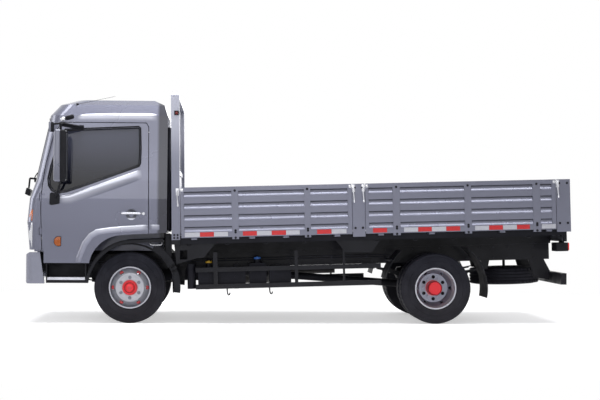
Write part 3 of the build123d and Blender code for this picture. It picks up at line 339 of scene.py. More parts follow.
def pipe(bm, points, radius, sides=8):
    """A fixed bent pipe or rod through a few guiding points, with closed ends."""
    curve = bpy.data.curves.new("run", "CURVE")
    curve.dimensions = "3D"
    curve.bevel_depth = radius
    curve.bevel_resolution = sides // 4
    curve.use_fill_caps = True
    spline = curve.splines.new("NURBS")
    spline.points.add(len(points) - 1)
    for point, place in zip(spline.points, points):
        point.co = (*place, 1)
    spline.order_u = 3
    spline.use_endpoint_u = True
    spline.resolution_u = 6
    holder = bpy.data.objects.new("run", curve)
    mesh = bpy.data.meshes.new_from_object(holder)
    bm.from_mesh(mesh)
    bpy.data.objects.remove(holder)
    bpy.data.meshes.remove(mesh)


def grown(outline, amount):
    """A closed outline of (station, height) corners moved outwards by an amount."""
    area = sum(a[0] * b[1] - b[0] * a[1] for a, b in zip(outline, outline[1:] + outline[:1]))
    turn = 1 if area > 0 else -1
    moved = []
    for before, here, after in zip(outline[-1:] + outline[:-1], outline, outline[1:] + outline[:1]):
        first = (Vector(here) - Vector(before)).normalized()
        second = (Vector(after) - Vector(here)).normalized()
        normal = Vector((first.y + second.y, -first.x - second.x)) * turn
        normal.normalize()
        reach = amount / max(0.5, normal.dot(Vector((first.y, -first.x)) * turn))
        moved.append(tuple(Vector(here) + normal * reach))
    return moved


def skin_of(*nodes):
    """The surface of some frame nodes, for pieces that lie on them."""
    places, corners = [], []
    for name in nodes:
        mesh = frame["nodes"][name].data
        mesh.calc_loop_triangles()
        start = len(places)
        places += [vert.co.copy() for vert in mesh.vertices]
        corners += [[start + index for index in triangle.vertices] for triangle in mesh.loop_triangles]
    return BVHTree.FromPolygons(places, corners)


def land(skin, start, direction, fallback):
    """Where a straight line from a point meets a surface."""
    hit = skin.ray_cast(start, direction)[0]
    return hit if hit is not None else fallback


def settle(bm, skin, direction, proud):
    """Moves vertices along a direction until they lie on a surface, and drops those that miss it."""
    far = direction * 3
    missed = []
    for vert in bm.verts:
        hit = land(skin, vert.co - far, direction, None)
        if hit is None:
            missed.append(vert)
        else:
            vert.co = hit - direction * proud
    bmesh.ops.delete(bm, geom=missed, context="VERTS")


def ribbon(bm, outer, inner, width, cuts=2):
    """Faces between two closed outlines of (station, height) corners at one width."""
    loops = []
    for outline in (outer, inner):
        ring = [bm.verts.new(at(s, width, h)) for s, h in outline]
        loops += [bm.edges.new(pair) for pair in zip(ring, ring[1:] + ring[:1])]
    bmesh.ops.bridge_loops(bm, edges=loops)
    long_edges = [edge for edge in bm.edges if edge.calc_length() > 0.08]
    bmesh.ops.subdivide_edges(bm, edges=long_edges, cuts=cuts, use_grid_fill=True)


def thicken(bm, amount):
    """Gives a sheet its thickness."""
    bmesh.ops.recalc_face_normals(bm, faces=bm.faces)
    bmesh.ops.solidify(bm, geom=list(bm.faces), thickness=amount)


def ridge(bm, skin, upper, lower, rise, highlight_fade, crest=0.53):
    """A pressed swage: a band between two lines that bulges from its panel, most near the upper line.

    A float layer holds each place's share of a painted highlight: pale paint for light on the band's top
    edge.
    """
    chains = []
    for line in (upper, lower):
        verts = [bm.verts.new(at(s, off_side, h)) for s, h in line]
        chains += [bm.edges.new(ends) for ends in zip(verts, verts[1:])]
    bmesh.ops.bridge_loops(bm, edges=chains)
    outline = [Vector((*point, 0)) for point in upper], [Vector((*point, 0)) for point in lower]
    cross = [edge for edge in bm.edges if edge not in chains]
    bmesh.ops.subdivide_edges(bm, edges=cross, cuts=11, use_grid_fill=True)
    bmesh.ops.subdivide_edges(bm, edges=[e for e in bm.edges if e.calc_length() > 0.05], cuts=3,
                              use_grid_fill=True)

    def apart(point, line):
        best = 1e9
        for start, end in zip(line, line[1:]):
            share = max(0.0, min(1.0, (point - start).dot(end - start) / (end - start).length_squared))
            best = min(best, (start.lerp(end, share) - point).length)
        return best

    first, last = upper[0][0], upper[-1][0]
    painted_highlight = bm.verts.layers.float.new("painted_highlight")
    places = {}
    for vert in bm.verts:
        point = Vector(((vert.co.x - front_axle) * 1000, vert.co.z * 1000, 0))
        top, low = apart(point, outline[0]), apart(point, outline[1])
        ends = min(1.0, min(abs(point.x - first), abs(point.x - last)) / 60 + 0.05)
        share = top / max(top + low, 1e-6)
        places[vert] = math.sin(math.pi * share ** crest) * ends
        # painted highlight: strongest just under the upper line, fading in between two stations
        level = max(0.0, min(1.0, (point.x - highlight_fade[0]) / (highlight_fade[1] - highlight_fade[0])))
        vert[painted_highlight] = min(1.0, share / 0.08) * (1 - share) ** 1.4 * ends * (0.25 + 0.75 * level)
    settle(bm, skin, -left_of_truck, -0.0004)
    for vert in bm.verts:
        vert.co += left_of_truck * rise / 1000 * places[vert]


def finish_piece(name, bm, body, look, turn=None, crisp=32.0):
    """Turns a shape into a piece: normals out, smooth with crisp edges, riding on its body."""
    if turn is not None:
        bmesh.ops.transform(bm, matrix=turn, verts=bm.verts)
    bmesh.ops.recalc_face_normals(bm, faces=bm.faces)
    mesh = bpy.data.meshes.new(name)
    bm.to_mesh(mesh)
    bm.free()
    mesh.polygons.foreach_set("use_smooth", [True] * len(mesh.polygons))
    mesh.set_sharp_from_angle(angle=math.radians(crisp))
    piece = bpy.data.objects.new(name, mesh)
    bpy.context.scene.collection.objects.link(piece)
    mesh.materials.append(finishes[look])
    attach(piece, body)
    return piece


def pair(name, bm, body, look, slot, turn=None, crisp=32.0):
    """A left piece and its mirror image on the right. The body's name may end in _left."""
    other = bm.copy()
    bmesh.ops.scale(other, vec=(1, -1, 1), verts=other.verts)
    other_body = body.replace("_left", "_right")
    left = finish_piece(f"{name}_left", bm, body, look, turn, crisp)
    right = finish_piece(f"{name}_right", other, other_body, look, turn, crisp)
    return left, right


finishes = {}


class TruckSizes(bpy.types.PropertyGroup):
    """Sizes that a user may change."""
    tread_sectors: bpy.props.IntProperty(
        name="Tread sectors", description="Divisions round a tyre; every third is a groove", default=144,
        min=36, max=240)
    groove_depth: bpy.props.FloatProperty(
        name="Groove depth", description="Depth of the grooves across the tyre's shoulders", default=0.009,
        unit="LENGTH")
    seal_width: bpy.props.FloatProperty(
        name="Seal width", description="How far a window's rubber reaches over the panel round it",
        default=0.017, unit="LENGTH")
    bolt_radius: bpy.props.FloatProperty(
        name="Bolt radius", description="Radius of the bolt heads on the bed", default=0.010, unit="LENGTH")
    swage_rise: bpy.props.FloatProperty(
        name="Swage rise", description="How far the door's pressed bands bulge, in millimetres", default=13.0)
    tape_thickness: bpy.props.FloatProperty(
        name="Tape thickness", description="Thickness of the reflective tape", default=0.0012, unit="LENGTH")
    camera_lens: bpy.props.FloatProperty(
        name="Lens", description="Focal length of the camera on a 36 mm sensor, in millimetres",
        default=85.45)
    camera_place: bpy.props.FloatVectorProperty(
        name="Camera", description="Where the camera stands", default=(-0.7535, -16.5519, 1.1656),
        subtype="TRANSLATION", unit="LENGTH")
    camera_turn: bpy.props.FloatVectorProperty(
        name="Camera turn", description="Turn to the rear, tilt up and roll of the camera",
        default=(math.radians(3.14), math.radians(0.706), math.radians(0.344)), subtype="EULER")


class TruckColours(bpy.types.PropertyGroup):
    """Colours that a user may change."""
    paint: bpy.props.FloatVectorProperty(
        name="Cab paint", description="Colour of the cab", default=srgb(100, 102, 120), size=4,
        subtype="COLOR")
    bed_paint: bpy.props.FloatVectorProperty(
        name="Bed paint", description="Colour of the side boards", default=srgb(112, 114, 130), size=4,
        subtype="COLOR")
    frame_black: bpy.props.FloatVectorProperty(
        name="Frame", description="Colour of the frame and sills", default=srgb(7, 8, 17), size=4,
        subtype="COLOR")
    rubber: bpy.props.FloatVectorProperty(
        name="Rubber", description="Colour of the tyres", default=srgb(15, 16, 27), size=4, subtype="COLOR")
    hub_red: bpy.props.FloatVectorProperty(
        name="Hub", description="Colour of the wheel hubs", default=srgb(196, 40, 48), size=4,
        subtype="COLOR")
    cloth: bpy.props.FloatVectorProperty(
        name="Seat cloth", description="Colour of the seats", default=srgb(70, 72, 82), size=4,
        subtype="COLOR")


class TRUCK_OT_stage(bpy.types.Operator):
    """Pale floor, soft lamps and the camera"""
    bl_idname = "truck.stage"
    bl_label = "Stage"

    def execute(self, context):
        sizes = context.scene.truck_sizes
        floor_half = 60.0
        bm = bmesh.new()
        bmesh.ops.create_grid(bm, x_segments=1, y_segments=1, size=floor_half)
        mesh = bpy.data.meshes.new("floor")
        bm.to_mesh(mesh)
        bm.free()
        floor = bpy.data.objects.new("floor", mesh)
        context.scene.collection.objects.link(floor)
        look, nodes, links, shader = tree_of("studio_floor")
        shader.inputs["Roughness"].default_value = 0.9
        place = nodes.new("ShaderNodeTexCoord")
        reach = nodes.new("ShaderNodeVectorMath")
        reach.operation = "LENGTH"
        links.new(place.outputs["Object"], reach.inputs[0])
        far = span(nodes, links, reach.outputs["Value"], 0.0, 1.0, 3.6, 7.0)
        near = blend_colours(nodes, links, noise_of(nodes, links, 0.4), srgb(240, 240, 242),
                             srgb(236, 236, 239))
        links.new(blend_colours(nodes, links, far, near, (0.0, 0.0, 0.0, 1.0)), shader.inputs["Base Color"])
        shader.inputs["Specular IOR Level"].default_value = 0.0
        seen = self.seen_directly(nodes, links)
        lift = combined(nodes, links, "MULTIPLY", seen, span(nodes, links, far, 0.5, 1.0, 0.0, 1.0))
        shader.inputs["Emission Color"].default_value = (1, 1, 1, 1)
        links.new(lift, shader.inputs["Emission Strength"])
        mesh.materials.append(look)

        world = bpy.data.worlds.new("studio")
        world.use_nodes = True
        context.scene.world = world
        nodes, links = world.node_tree.nodes, world.node_tree.links
        backdrop = nodes["Background"]
        seen = self.seen_directly(nodes, links)
        level = span(nodes, links, seen, 0.26, 1.0, 0.0, 1.0)
        backdrop.inputs["Color"].default_value = (1, 1, 1, 1)
        links.new(level, backdrop.inputs["Strength"])

        # columns: name, place, what it looks at, size, power
        lamps = (("lamp_top", (0.0, -1.0, 7.5), (0, 0, 0.6), (9.0, 5.0), 960),
                 ("lamp_left", (-2.5, -9.0, 3.6), (0, 0, 1.1), (9.0, 4.0), 185),
                 ("lamp_right", (1.0, 9.0, 3.5), (0, 0, 1.1), (8.0, 4.0), 240),
                 ("lamp_front", (-9.5, -1.0, 3.2), (-2, 0, 1.3), (4.0, 3.5), 170),
                 ("lamp_rear", (9.5, 0.5, 3.2), (2, 0, 1.0), (4.0, 3.5), 150))
        for name, place, aim, size, power in lamps:
            light = bpy.data.lights.new(name, "AREA")
            light.shape = "RECTANGLE"
            light.size, light.size_y = size
            light.energy = power
            lamp = bpy.data.objects.new(name, light)
            lamp.location = place
            lamp.rotation_euler = (Vector(aim) - Vector(place)).to_track_quat("-Z", "Y").to_euler()
            context.scene.collection.objects.link(lamp)

        camera = bpy.data.objects.new("camera", bpy.data.cameras.new("camera"))
        camera.data.lens = sizes.camera_lens
        camera.data.sensor_width = 36.0
        camera.data.clip_end = 200.0
        turn, tilt, roll = sizes.camera_turn
        camera.matrix_world = (Matrix.Translation(sizes.camera_place) @ Matrix.Rotation(-turn, 4, "Z")
                               @ Matrix.Rotation(math.pi / 2 + tilt, 4, "X") @ Matrix.Rotation(roll, 4, "Z"))
        context.scene.collection.objects.link(camera)
        context.scene.camera = camera
        context.scene.view_settings.view_transform = "Standard"
        return {"FINISHED"}

    def seen_directly(self, nodes, links):
        """1 for rays of the camera, of mirrors and of glass, 0 for the others."""
        rays = nodes.new("ShaderNodeLightPath")
        total = rays.outputs["Is Camera Ray"]
        for kind in ("Is Glossy Ray", "Is Transmission Ray"):
            total = combined(nodes, links, "MAXIMUM", total, rays.outputs[kind])
        return total


class TRUCK_OT_finishes(bpy.types.Operator):
    """Every finish, and the finishes of the frame's own nodes"""
    bl_idname = "truck.finishes"
    bl_label = "Finishes"

    def execute(self, context):
        colours = context.scene.truck_colours
        paint, bed, black = tuple(colours.paint), tuple(colours.bed_paint), tuple(colours.frame_black)
        red, rubber = tuple(colours.hub_red), tuple(colours.rubber)
        # a paler copy of the bed paint, for a painted highlight
        highlight_painted_bed = tuple(min(1.0, c * 1.5) for c in bed[:3]) + (1.0,)
        # columns: finish, material, colour, shade, patch, gloss, metal, grain, relief, coat, dust
        opaque = (
            ("cab_skin", "cab_skin", paint, 0.93, 1.2, (0.22, 0.30), 0.45, 900.0, 0.006, 0.7, 0.06),
            ("band_paint", "band_paint", paint, 0.93, 1.2, (0.22, 0.30), 0.45, 900.0, 0.006, 0.7),
            ("bed_paint", "bed_paint", bed, 0.93, 1.6, (0.32, 0.42), 0.35, 500.0, 0.01, 0.25, 0.05),
            ("boards", "board_paint", bed, 0.93, 1.6, (0.32, 0.42), 0.35, 500.0, 0.01, 0.25, 0.05),
            ("head_paint", "head_paint", bed, 0.93, 1.6, (0.32, 0.42), 0.35, 500.0, 0.01, 0.25),
            # painted highlight: the boards' swages take the paler bed paint
            ("swage", "swage_paint", highlight_painted_bed, 0.93, 1.6, (0.24, 0.3), 0.5, 300.0, 0.001, 0.6),
            # painted shade: a near black copy of the bed paint, for strips on the ribs' downward bevels
            ("flank", "flank_paint", darker(bed, 0.22), 0.9, 3.0, (0.4, 0.5), 0.2, 300.0, 0.004),
            ("bumper", "bumper_paint", srgb(126, 128, 144), 0.95, 1.2, (0.2, 0.28), 0.5, 900.0, 0.005,
             0.8, 0.04),
            # painted shade: the handle's dish takes a darkened copy of the cab paint
            ("dish", "handle_dish", darker(paint, 0.3), 0.9, 4.0, (0.25, 0.35), 0.3, 220.0, 0.02),
            ("frame_black", "frame_paint", black, 0.75, 4.0, (0.4, 0.6), 0.1, 160.0, 0.03, 0.1, 0.03),
            ("dark_grey", "dark_steel", srgb(38, 39, 48), 0.8, 4.0, (0.4, 0.6), 0.3, 160.0, 0.03, 0.0, 0.03),
            ("tyre", "tyre_rubber", rubber, 0.78, 7.0, (0.62, 0.8), 0.0, 420.0, 0.05, 0.0, 0.05),
            ("rim_dark", "rim_dark", srgb(120, 122, 132), 0.8, 5.0, (0.35, 0.5), 0.5, 300.0, 0.015),
            ("lamp", "lamp_chrome", srgb(214, 216, 222), 0.9, 5.0, (0.08, 0.16), 0.95, 200.0, 0.004),
            ("trim_black", "moulded_black", srgb(9, 10, 18), 0.8, 10.0, (0.5, 0.65), 0.0, 700.0, 0.06),
            ("interior", "moulded_grey", srgb(74, 75, 82), 0.88, 8.0, (0.6, 0.75), 0.0, 800.0, 0.08),
            ("mirror_shell", "mirror_shell", srgb(104, 106, 121), 0.9, 3.0, (0.25, 0.35), 0.4, 600.0, 0.01,
             0.5),
            ("tank_steel", "tank_steel", srgb(12, 13, 22), 0.8, 4.0, (0.35, 0.5), 0.5, 200.0, 0.02, 0.0,
             0.03),
            ("cast", "cast_iron", srgb(16, 17, 25), 0.7, 6.0, (0.55, 0.75), 0.35, 260.0, 0.09, 0.0, 0.03),
            ("silencer_steel", "silencer_steel", srgb(58, 56, 56), 0.65, 7.0, (0.45, 0.7), 0.7, 200.0, 0.04),
            ("bright", "bright_steel", srgb(205, 206, 212), 0.85, 8.0, (0.18, 0.3), 0.9, 400.0, 0.01),
            ("bolt_black", "bolt_steel", srgb(34, 34, 40), 0.7, 20.0, (0.4, 0.6), 0.5, 300.0, 0.03),
            ("tape_red", "tape_red", srgb(196, 16, 26), 0.85, 60.0, (0.3, 0.4), 0.0, 1500.0, 0.03, 0.3),
            ("tape_white", "tape_white", srgb(186, 187, 196), 0.92, 60.0, (0.3, 0.4), 0.0, 1500.0, 0.03, 0.3),
            ("mirror", "mirror_glass", srgb(225, 228, 232), 0.97, 2.0, (0.01, 0.03), 1.0, 50.0, 0.0),
            ("yellow", "yellow_cap", srgb(214, 170, 40), 0.85, 20.0, (0.4, 0.5), 0.0, 500.0, 0.03),
            ("blue", "blue_cap", srgb(40, 96, 176), 0.85, 20.0, (0.4, 0.5), 0.0, 500.0, 0.03),
            ("hub_red", "hub_red", red, 0.8, 9.0, (0.3, 0.42), 0.1, 300.0, 0.02, 0.3),
            ("step_plate", "step_plate", srgb(186, 187, 196), 0.85, 12.0, (0.3, 0.45), 0.8, 300.0, 0.02),
            ("blank_plate", "blank_plate", srgb(206, 208, 212), 0.95, 10.0, (0.35, 0.45), 0.1, 300.0, 0.01),
        )
        finishes.update({key: surface(*row) for key, *row in opaque})
        finishes.update({
            "orange": clear("orange_lens", srgb(240, 120, 20), 0.08, 0.35),
            "red_lens": clear("red_lens", srgb(200, 22, 24), 0.08, 0.2),
            "white_lens": clear("white_lens", srgb(236, 238, 242), 0.06, 0.15),
            "lens": clear("clear_lens", srgb(246, 248, 252), 0.01),
            # the window glass's pale upper colour is a painted reflection of the sky
            "glass": dark_glass("tinted_glass", srgb(84, 87, 104), srgb(14, 15, 26)),
            "cloth": woven("seat_cloth", tuple(colours.cloth)),
            "floor_plate": treadplate("bed_floor_plate", srgb(120, 121, 130)),
        })
        for name in ("frame_black", "trim_black", "tyre", "cast", "tank_steel", "dark_grey", "bolt_black"):
            finishes[name].node_tree.nodes["Principled BSDF"].inputs["Specular IOR Level"].default_value = 0.2

        # painted highlight: a pale colour laid along the upper lines of the pressed bands, where light would
        # catch them
        tree = finishes["band_paint"].node_tree
        nodes, links = tree.nodes, tree.links
        base = nodes["Principled BSDF"].inputs["Base Color"]
        painted_highlight = nodes.new("ShaderNodeAttribute")
        painted_highlight.attribute_name = "painted_highlight"
        under = base.links[0].from_socket
        links.new(blend_colours(nodes, links, painted_highlight.outputs["Fac"], under, srgb(218, 220, 232)), base)

        beyond = 9.0            # past every piece, in metres
        recess = 1.0385         # half the width between the boards' recessed sheets
        cab_rear_shade_start, floor_end = at(297, 0, 0).x, at(4795, 0, 0).x
        # columns: finish, axis, first and last value, colour, softness of the edge
        for key, axis, limits, colour, soft in (
                # painted highlight: the headboard grows paler towards its top, as if lit from above
                ("head_paint", "Z", (1.98, beyond), srgb(160, 162, 176), 0.28),
                # painted shade: the cab's rear corner and wall are darkened behind a station
                ("cab_skin", "X", (cab_rear_shade_start, beyond), srgb(34, 35, 48), 0.02),
                # painted shade: the boards' recessed sheets are darkened between their ribs
                ("boards", "Y", (-recess, recess), darker(bed, 0.85), 0.006),
                ("floor_plate", "Y", (-2.0, -0.99), black, 0.002),
                ("floor_plate", "Y", (0.99, 2.0), black, 0.002),
                ("floor_plate", "X", (floor_end, beyond), black, 0.002),
                # painted highlight: a pale band across the lower edge of the handle's dish
                ("dish", "Z", (1.10, 1.146), srgb(196, 198, 210), 0.010)):
            masked(finishes[key], axis, limits, colour, soft)

        # columns: first and last radius, colour, softness of the edge; later rings lie over earlier ones
        front_rings = (((0.094, 0.129), srgb(168, 169, 176), 0.002), ((-1.0, 0.084), red, 0.002),
                       ((0.052, 0.060), srgb(110, 16, 22), 0.002), ((-1.0, 0.042), red, 0.002))
        rear_rings = (((0.088, 0.200), srgb(140, 142, 156), 0.003), ((-1.0, 0.086), red, 0.002))
        rims = {"front_rim_left": (0, srgb(166, 167, 175), front_rings),
                "front_rim_right": (0, srgb(166, 167, 175), front_rings),
                "rear_rims_left": (wheelbase, srgb(178, 179, 187), rear_rings),
                "rear_rims_right": (wheelbase, srgb(178, 179, 187), rear_rings)}
        for node, (station, colour, rings) in rims.items():
            look = surface(f"{node}_finish", colour, 0.88, 5.0, (0.28, 0.4), 0.5, 300.0, 0.015)
            for limits, ring_colour, soft in rings:
                masked(look, "R", limits, ring_colour, soft, at(station, 0, axle_height))
            finishes[node] = look

        slots = {"bumper": ("bumper",), "cab_skin": ("cab_shell", "door_left", "door_right"),
                 "boards": ("front_gate_left", "front_gate_right", "rear_gate_left", "rear_gate_right"),
                 "bed_paint": ("bed_posts", "tailgate"), "head_paint": ("headboard",),
                 "floor_plate": ("bed_floor",), "glass": ("cab_glass", "door_glass_left", "door_glass_right"),
                 "frame_black": ("bed_bearers", "chassis_frame", "side_guards", "underrun_bar",
                                 "spare_carrier", "leaf_springs"),
                 "trim_black": ("grille", "steps_and_arches", "mudguards", "kerb_mirror", "steering_wheel",
                                "air_intake", "tail_lamps"),
                 "interior": ("dashboard",), "tank_steel": ("fuel_tank", "side_tanks"),
                 "silencer_steel": ("silencer",),
                 "tyre": ("spare_wheel", "front_tyre_left", "front_tyre_right", "rear_tyres_left",
                          "rear_tyres_right"),
                 "cast": ("engine_block", "front_axle", "rear_axle", "steering_knuckle_left",
                          "steering_knuckle_right", "tie_rod"),
                 "lamp": ("headlamps",), "cloth": ("seats",), "mirror_shell": ("mirror_left", "mirror_right")}
        slots.update({node: (node,) for node in rims})
        for look, dressed in slots.items():
            for node in dressed:
                mesh = frame["nodes"][node].data
                mesh.materials.clear()
                mesh.materials.append(finishes[look])
        return {"FINISHED"}


class TRUCK_OT_tyres(bpy.types.Operator):
    """Tyres with grooved treads, the spare wheel, wheel nuts, brake drums, hub domes and valves"""
    bl_idname = "truck.tyres"
    bl_label = "Tyres"

    # columns: distance from the tyre's middle, radius, for a tyre 214 wide and 390 in radius
    half_section = ((107 - 28, 229.8), (86, 236), (96, 245), (101, 262), (106, 284), (106.8, 298), (104, 301),
                    (104, 308), (106.4, 311), (104.5, 336), (100, 352), (96.5, 360), (98, 365), (96, 377),
                    (88, 386), (64, 389.4), (61, 380), (55, 380), (52, 389.8), (26, 390), (23, 380),
                    (17, 380), (14, 390))
    full_radius, full_width, bead = 390.0, 214.0, 229.8
    rolling_radius = 389.6

    def tyre(self, bm, centre, axis, radius, width, sizes):
        grow = (radius - self.bead) / (self.full_radius - self.bead)
        half = [(d * width / self.full_width, self.bead + (r - self.bead) * grow)
                for d, r in self.half_section]
        profile = [(-d, r) for d, r in half] + [(d, r) for d, r in reversed(half)]
        profile.append(profile[0])
        existing = set(bm.faces)
        turned(bm, profile, centre, axis, sizes.tread_sectors)
        across = axis.orthogonal().normalized()
        around = axis.cross(across)
        grooves = []
        for face in set(bm.faces) - existing:
            offset = face.calc_center_median() - centre
            distance = abs(offset.dot(axis)) * 1000
            if not (66 < distance * self.full_width / width < 86) or offset.length * 1000 < radius - 12:
                continue
            turn = math.atan2(offset.dot(around), offset.dot(across)) / math.tau * sizes.tread_sectors
            shift = 0 if offset.dot(axis) > 0 else 1
            if (math.floor(turn) + shift) % 3 == 0:
                grooves.append(face)
        for face in bmesh.ops.extrude_discrete_faces(bm, faces=grooves)["faces"]:
            for vert in face.verts:
                offset = vert.co - centre
                inward = offset - axis * offset.dot(axis)
                vert.co -= inward.normalized() * sizes.groove_depth

    def execute(self, context):
        sizes = context.scene.truck_sizes
        box_low, box_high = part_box("front_tyre_left")
        middle_y = (box_low.y + box_high.y) / 2
        width = (box_high.y - box_low.y) * 1000
        bm = bmesh.new()
        self.tyre(bm, Vector((front_axle, middle_y, axle_height / 1000)), left_of_truck,
                  self.rolling_radius, width, sizes)
        for piece, node in zip(pair("front_tread", bm, "front_wheel_left", "tyre", "tyre"),
                               ("front_tyre_left", "front_tyre_right")):
            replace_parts(piece, node)
        box_low, box_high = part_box("rear_tyres_left")
        bm = bmesh.new()
        for middle_y in (box_low.y + width / 2000, box_high.y - width / 2000):
            self.tyre(bm, Vector((at(wheelbase, 0, 0).x, middle_y, axle_height / 1000)), left_of_truck,
                      self.rolling_radius, width, sizes)
        for piece, node in zip(pair("rear_treads", bm, "rear_wheels_left", "tyre", "tyre"),
                               ("rear_tyres_left", "rear_tyres_right")):
            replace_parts(piece, node)

        nuts = 6
        # columns: piece, station, radius of the ring of nuts, body, rim, finish
        for name, station, ring, body, node, look in (
                ("front_nuts", 0, 112, "front_wheel_left", "front_rim_left", "rim_dark"),
                ("rear_nuts", wheelbase, 122, "rear_wheels_left", "rear_rims_left", "cast")):
            bm = bmesh.new()
            skin = skin_of(node)
            for index in range(nuts):
                angle = math.tau * (index + 0.5) / nuts
                place = at(station + ring * math.cos(angle), -far_off, axle_height + ring * math.sin(angle))
                seat = land(skin, place, -left_of_truck, None)
                if seat is not None:
                    bar(bm, seat - left_of_truck * 0.002, seat + left_of_truck * 0.005, 0.019, 20)
                    bar(bm, seat, seat + left_of_truck * 0.020, 0.0155, 6, 0.0145)
                    bar(bm, seat, seat + left_of_truck * 0.028, 0.008, 12)
            pair(name, bm, body, look, "rim_silver")

        low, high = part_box("spare_wheel")
        tall = (high.z - low.z) * 1000 - (high.x - low.x) * 1000 * math.sin(rake)
        radius = (high.y - low.y) * 500 - 1
        middle = (low + high) / 2
        upright = (raked.to_3x3() @ up).normalized()
        bm = bmesh.new()
        self.tyre(bm, middle, upright, radius, tall - 2, sizes)
        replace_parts(finish_piece("spare_tyre", bm, "chassis", "tyre"), "spare_wheel")
        bm = bmesh.new()
        half = tall / 2 - 30
        turned(bm, [(-half, 231), (-half + 14, 222), (-30, 210), (-24, 190), (-40, 150), (-44, 60), (-36, 60),
                    (-32, 150), (-14, 190), (-8, 204), (half - 14, 216), (half, 231)], middle, upright, 48)
        finish_piece("spare_rim", bm, "chassis", "rim_dark")

        bm = bmesh.new()
        turned(bm, [(784, 176), (786, 204), (858, 204), (864, 196), (864, 176), (784, 176)],
               at(0, 0, axle_height), left_of_truck, 64)
        pair("brake_drum", bm, "front_wheel_left", "hub_red", "rim_silver")
        bm = bmesh.new()
        turned(bm, [(914, 0), (914, 34), (952, 34), (966, 30), (976, 20), (980, 0)], at(0, 0, axle_height),
               left_of_truck, 32)
        pair("hub_dome", bm, "front_wheel_left", "hub_red", "rim_silver")
        for name, station, body, reach, radius in (("front_valve", 0, "front_wheel_left", 898, 196),
                                                   ("rear_valve", wheelbase, "rear_wheels_left", 800, 190)):
            bm = bmesh.new()
            foot = at(station + radius * 0.5, -reach, axle_height + radius * 0.87)
            pipe(bm, [foot + Vector((0, 0.014, 0)), foot, foot + Vector((-0.006, -0.02, -0.012)),
                      foot + Vector((-0.014, -0.034, -0.028))], 0.004)
            pair(name, bm, body, "bright", "rim_silver")
        return {"FINISHED"}


class TRUCK_OT_glazing(bpy.types.Operator):
    """Rubber seals round the windows, the ribs of the cab's rear wall, and the wipers"""
    bl_idname = "truck.glazing"
    bl_label = "Window seals"

    # columns: station, height
    window = ((-852, 1716), (-880, 1580), (-874, 1500), (-843, 1450), (-795, 1428), (-695, 1439),
              (-546, 1489), (84, 1721), (98, 1748), (102, 1900), (94, 2130), (80, 2142), (-332, 2124),
              (-712, 2105), (-742, 2085))

    def front_ring(self, outline, skin, direction, grow, shrink, proud, thickness):
        """A seal on a face that looks along the truck, from (width, height) corners."""
        bm = bmesh.new()
        loops = []
        for ring in (grown(outline, grow), grown(outline, -shrink)):
            verts = [bm.verts.new(at(-far_off * direction.x, w, h)) for w, h in ring]
            loops += [bm.edges.new(edge) for edge in zip(verts, verts[1:] + verts[:1])]
        bmesh.ops.bridge_loops(bm, edges=loops)
        bmesh.ops.subdivide_edges(bm, edges=[e for e in bm.edges if e.calc_length() > 0.08], cuts=9,
                                  use_grid_fill=True)
        settle(bm, skin, direction, proud)
        thicken(bm, thickness)
        return bm

    def rounded(self, outline, corner):
        """Corners of an outline cut into three, so that a seal follows them."""
        soft = []
        for before, here, after in zip(outline[-1:] + outline[:-1], outline, outline[1:] + outline[:1]):
            start = Vector(here) + (Vector(before) - Vector(here)).normalized() * corner
            end = Vector(here) + (Vector(after) - Vector(here)).normalized() * corner
            for share in (0.0, 0.25, 0.5, 0.75, 1.0):
                soft.append(tuple(start.lerp(Vector(here), share).lerp(Vector(here).lerp(end, share), share)))
        return soft

    def execute(self, context):
        reach = context.scene.truck_sizes.seal_width * 1000
        bm = bmesh.new()
        ribbon(bm, grown(self.window, reach), grown(self.window, -9), off_side, 5)
        settle(bm, skin_of("door_left", "door_glass_left", "cab_shell"), -left_of_truck, 0.004)
        thicken(bm, 0.006)
        pair("window_seal", bm, "door_left", "trim_black", "trim_black")

        skin = skin_of("cab_shell", "cab_glass")
        screen = self.rounded([(-838, 1606), (838, 1606), (790, 2222), (-790, 2222)], 60)
        finish_piece("screen_seal", self.front_ring(screen, skin, rear, 20, 10, 0.004, 0.006), "cab",
                     "trim_black")
        light = self.rounded([(-520, 1640), (520, 1640), (500, 2060), (-500, 2060)], 55)
        finish_piece("rear_light_seal", self.front_ring(light, skin, -rear, 16, 10, 0.004, 0.006), "cab",
                     "trim_black")
        bm = bmesh.new()
        # columns: width, top
        for width, top in ((-790, 2150), (-340, 1590), (0, 1590), (340, 1590), (790, 2150)):
            wall = land(skin, at(far_off, width, 1300), -rear, at(380, width, 1300))
            start = (wall.x - front_axle) * 1000 - 3
            box(bm, (start, max(start + 12, 432)), (width - 38, width + 38), (1010, top), 0.010, 3)
        finish_piece("rear_ribs", bm, "cab", "dark_grey")

        bm = bmesh.new()

        def on_screen(width, height, proud):
            return land(skin, at(-far_off, width, height), rear, at(-1100, width, height)) - rear * proud

        # columns: width of the pivot, and of the blade's ends
        for pivot, first, last in ((-430, -760, -130), (180, -160, 470)):
            root = on_screen(pivot, 1560, 0.0)
            bar(bm, root + rear * 0.01, root - rear * 0.03, 0.016)
            middle = on_screen((first + last) / 2, 1650, 0.026)
            pipe(bm, [root - rear * 0.026, root - rear * 0.034 + up * 0.03, middle - rear * 0.006, middle],
                 0.006)
            blade = [on_screen(first + (last - first) * step / 6, 1645 + step, 0.012) for step in range(7)]
            pipe(bm, blade, 0.0055, 4)
            pipe(bm, [point - rear * 0.010 for point in blade[1:-1]], 0.004, 4)
        finish_piece("wipers", bm, "cab", "trim_black")
        return {"FINISHED"}


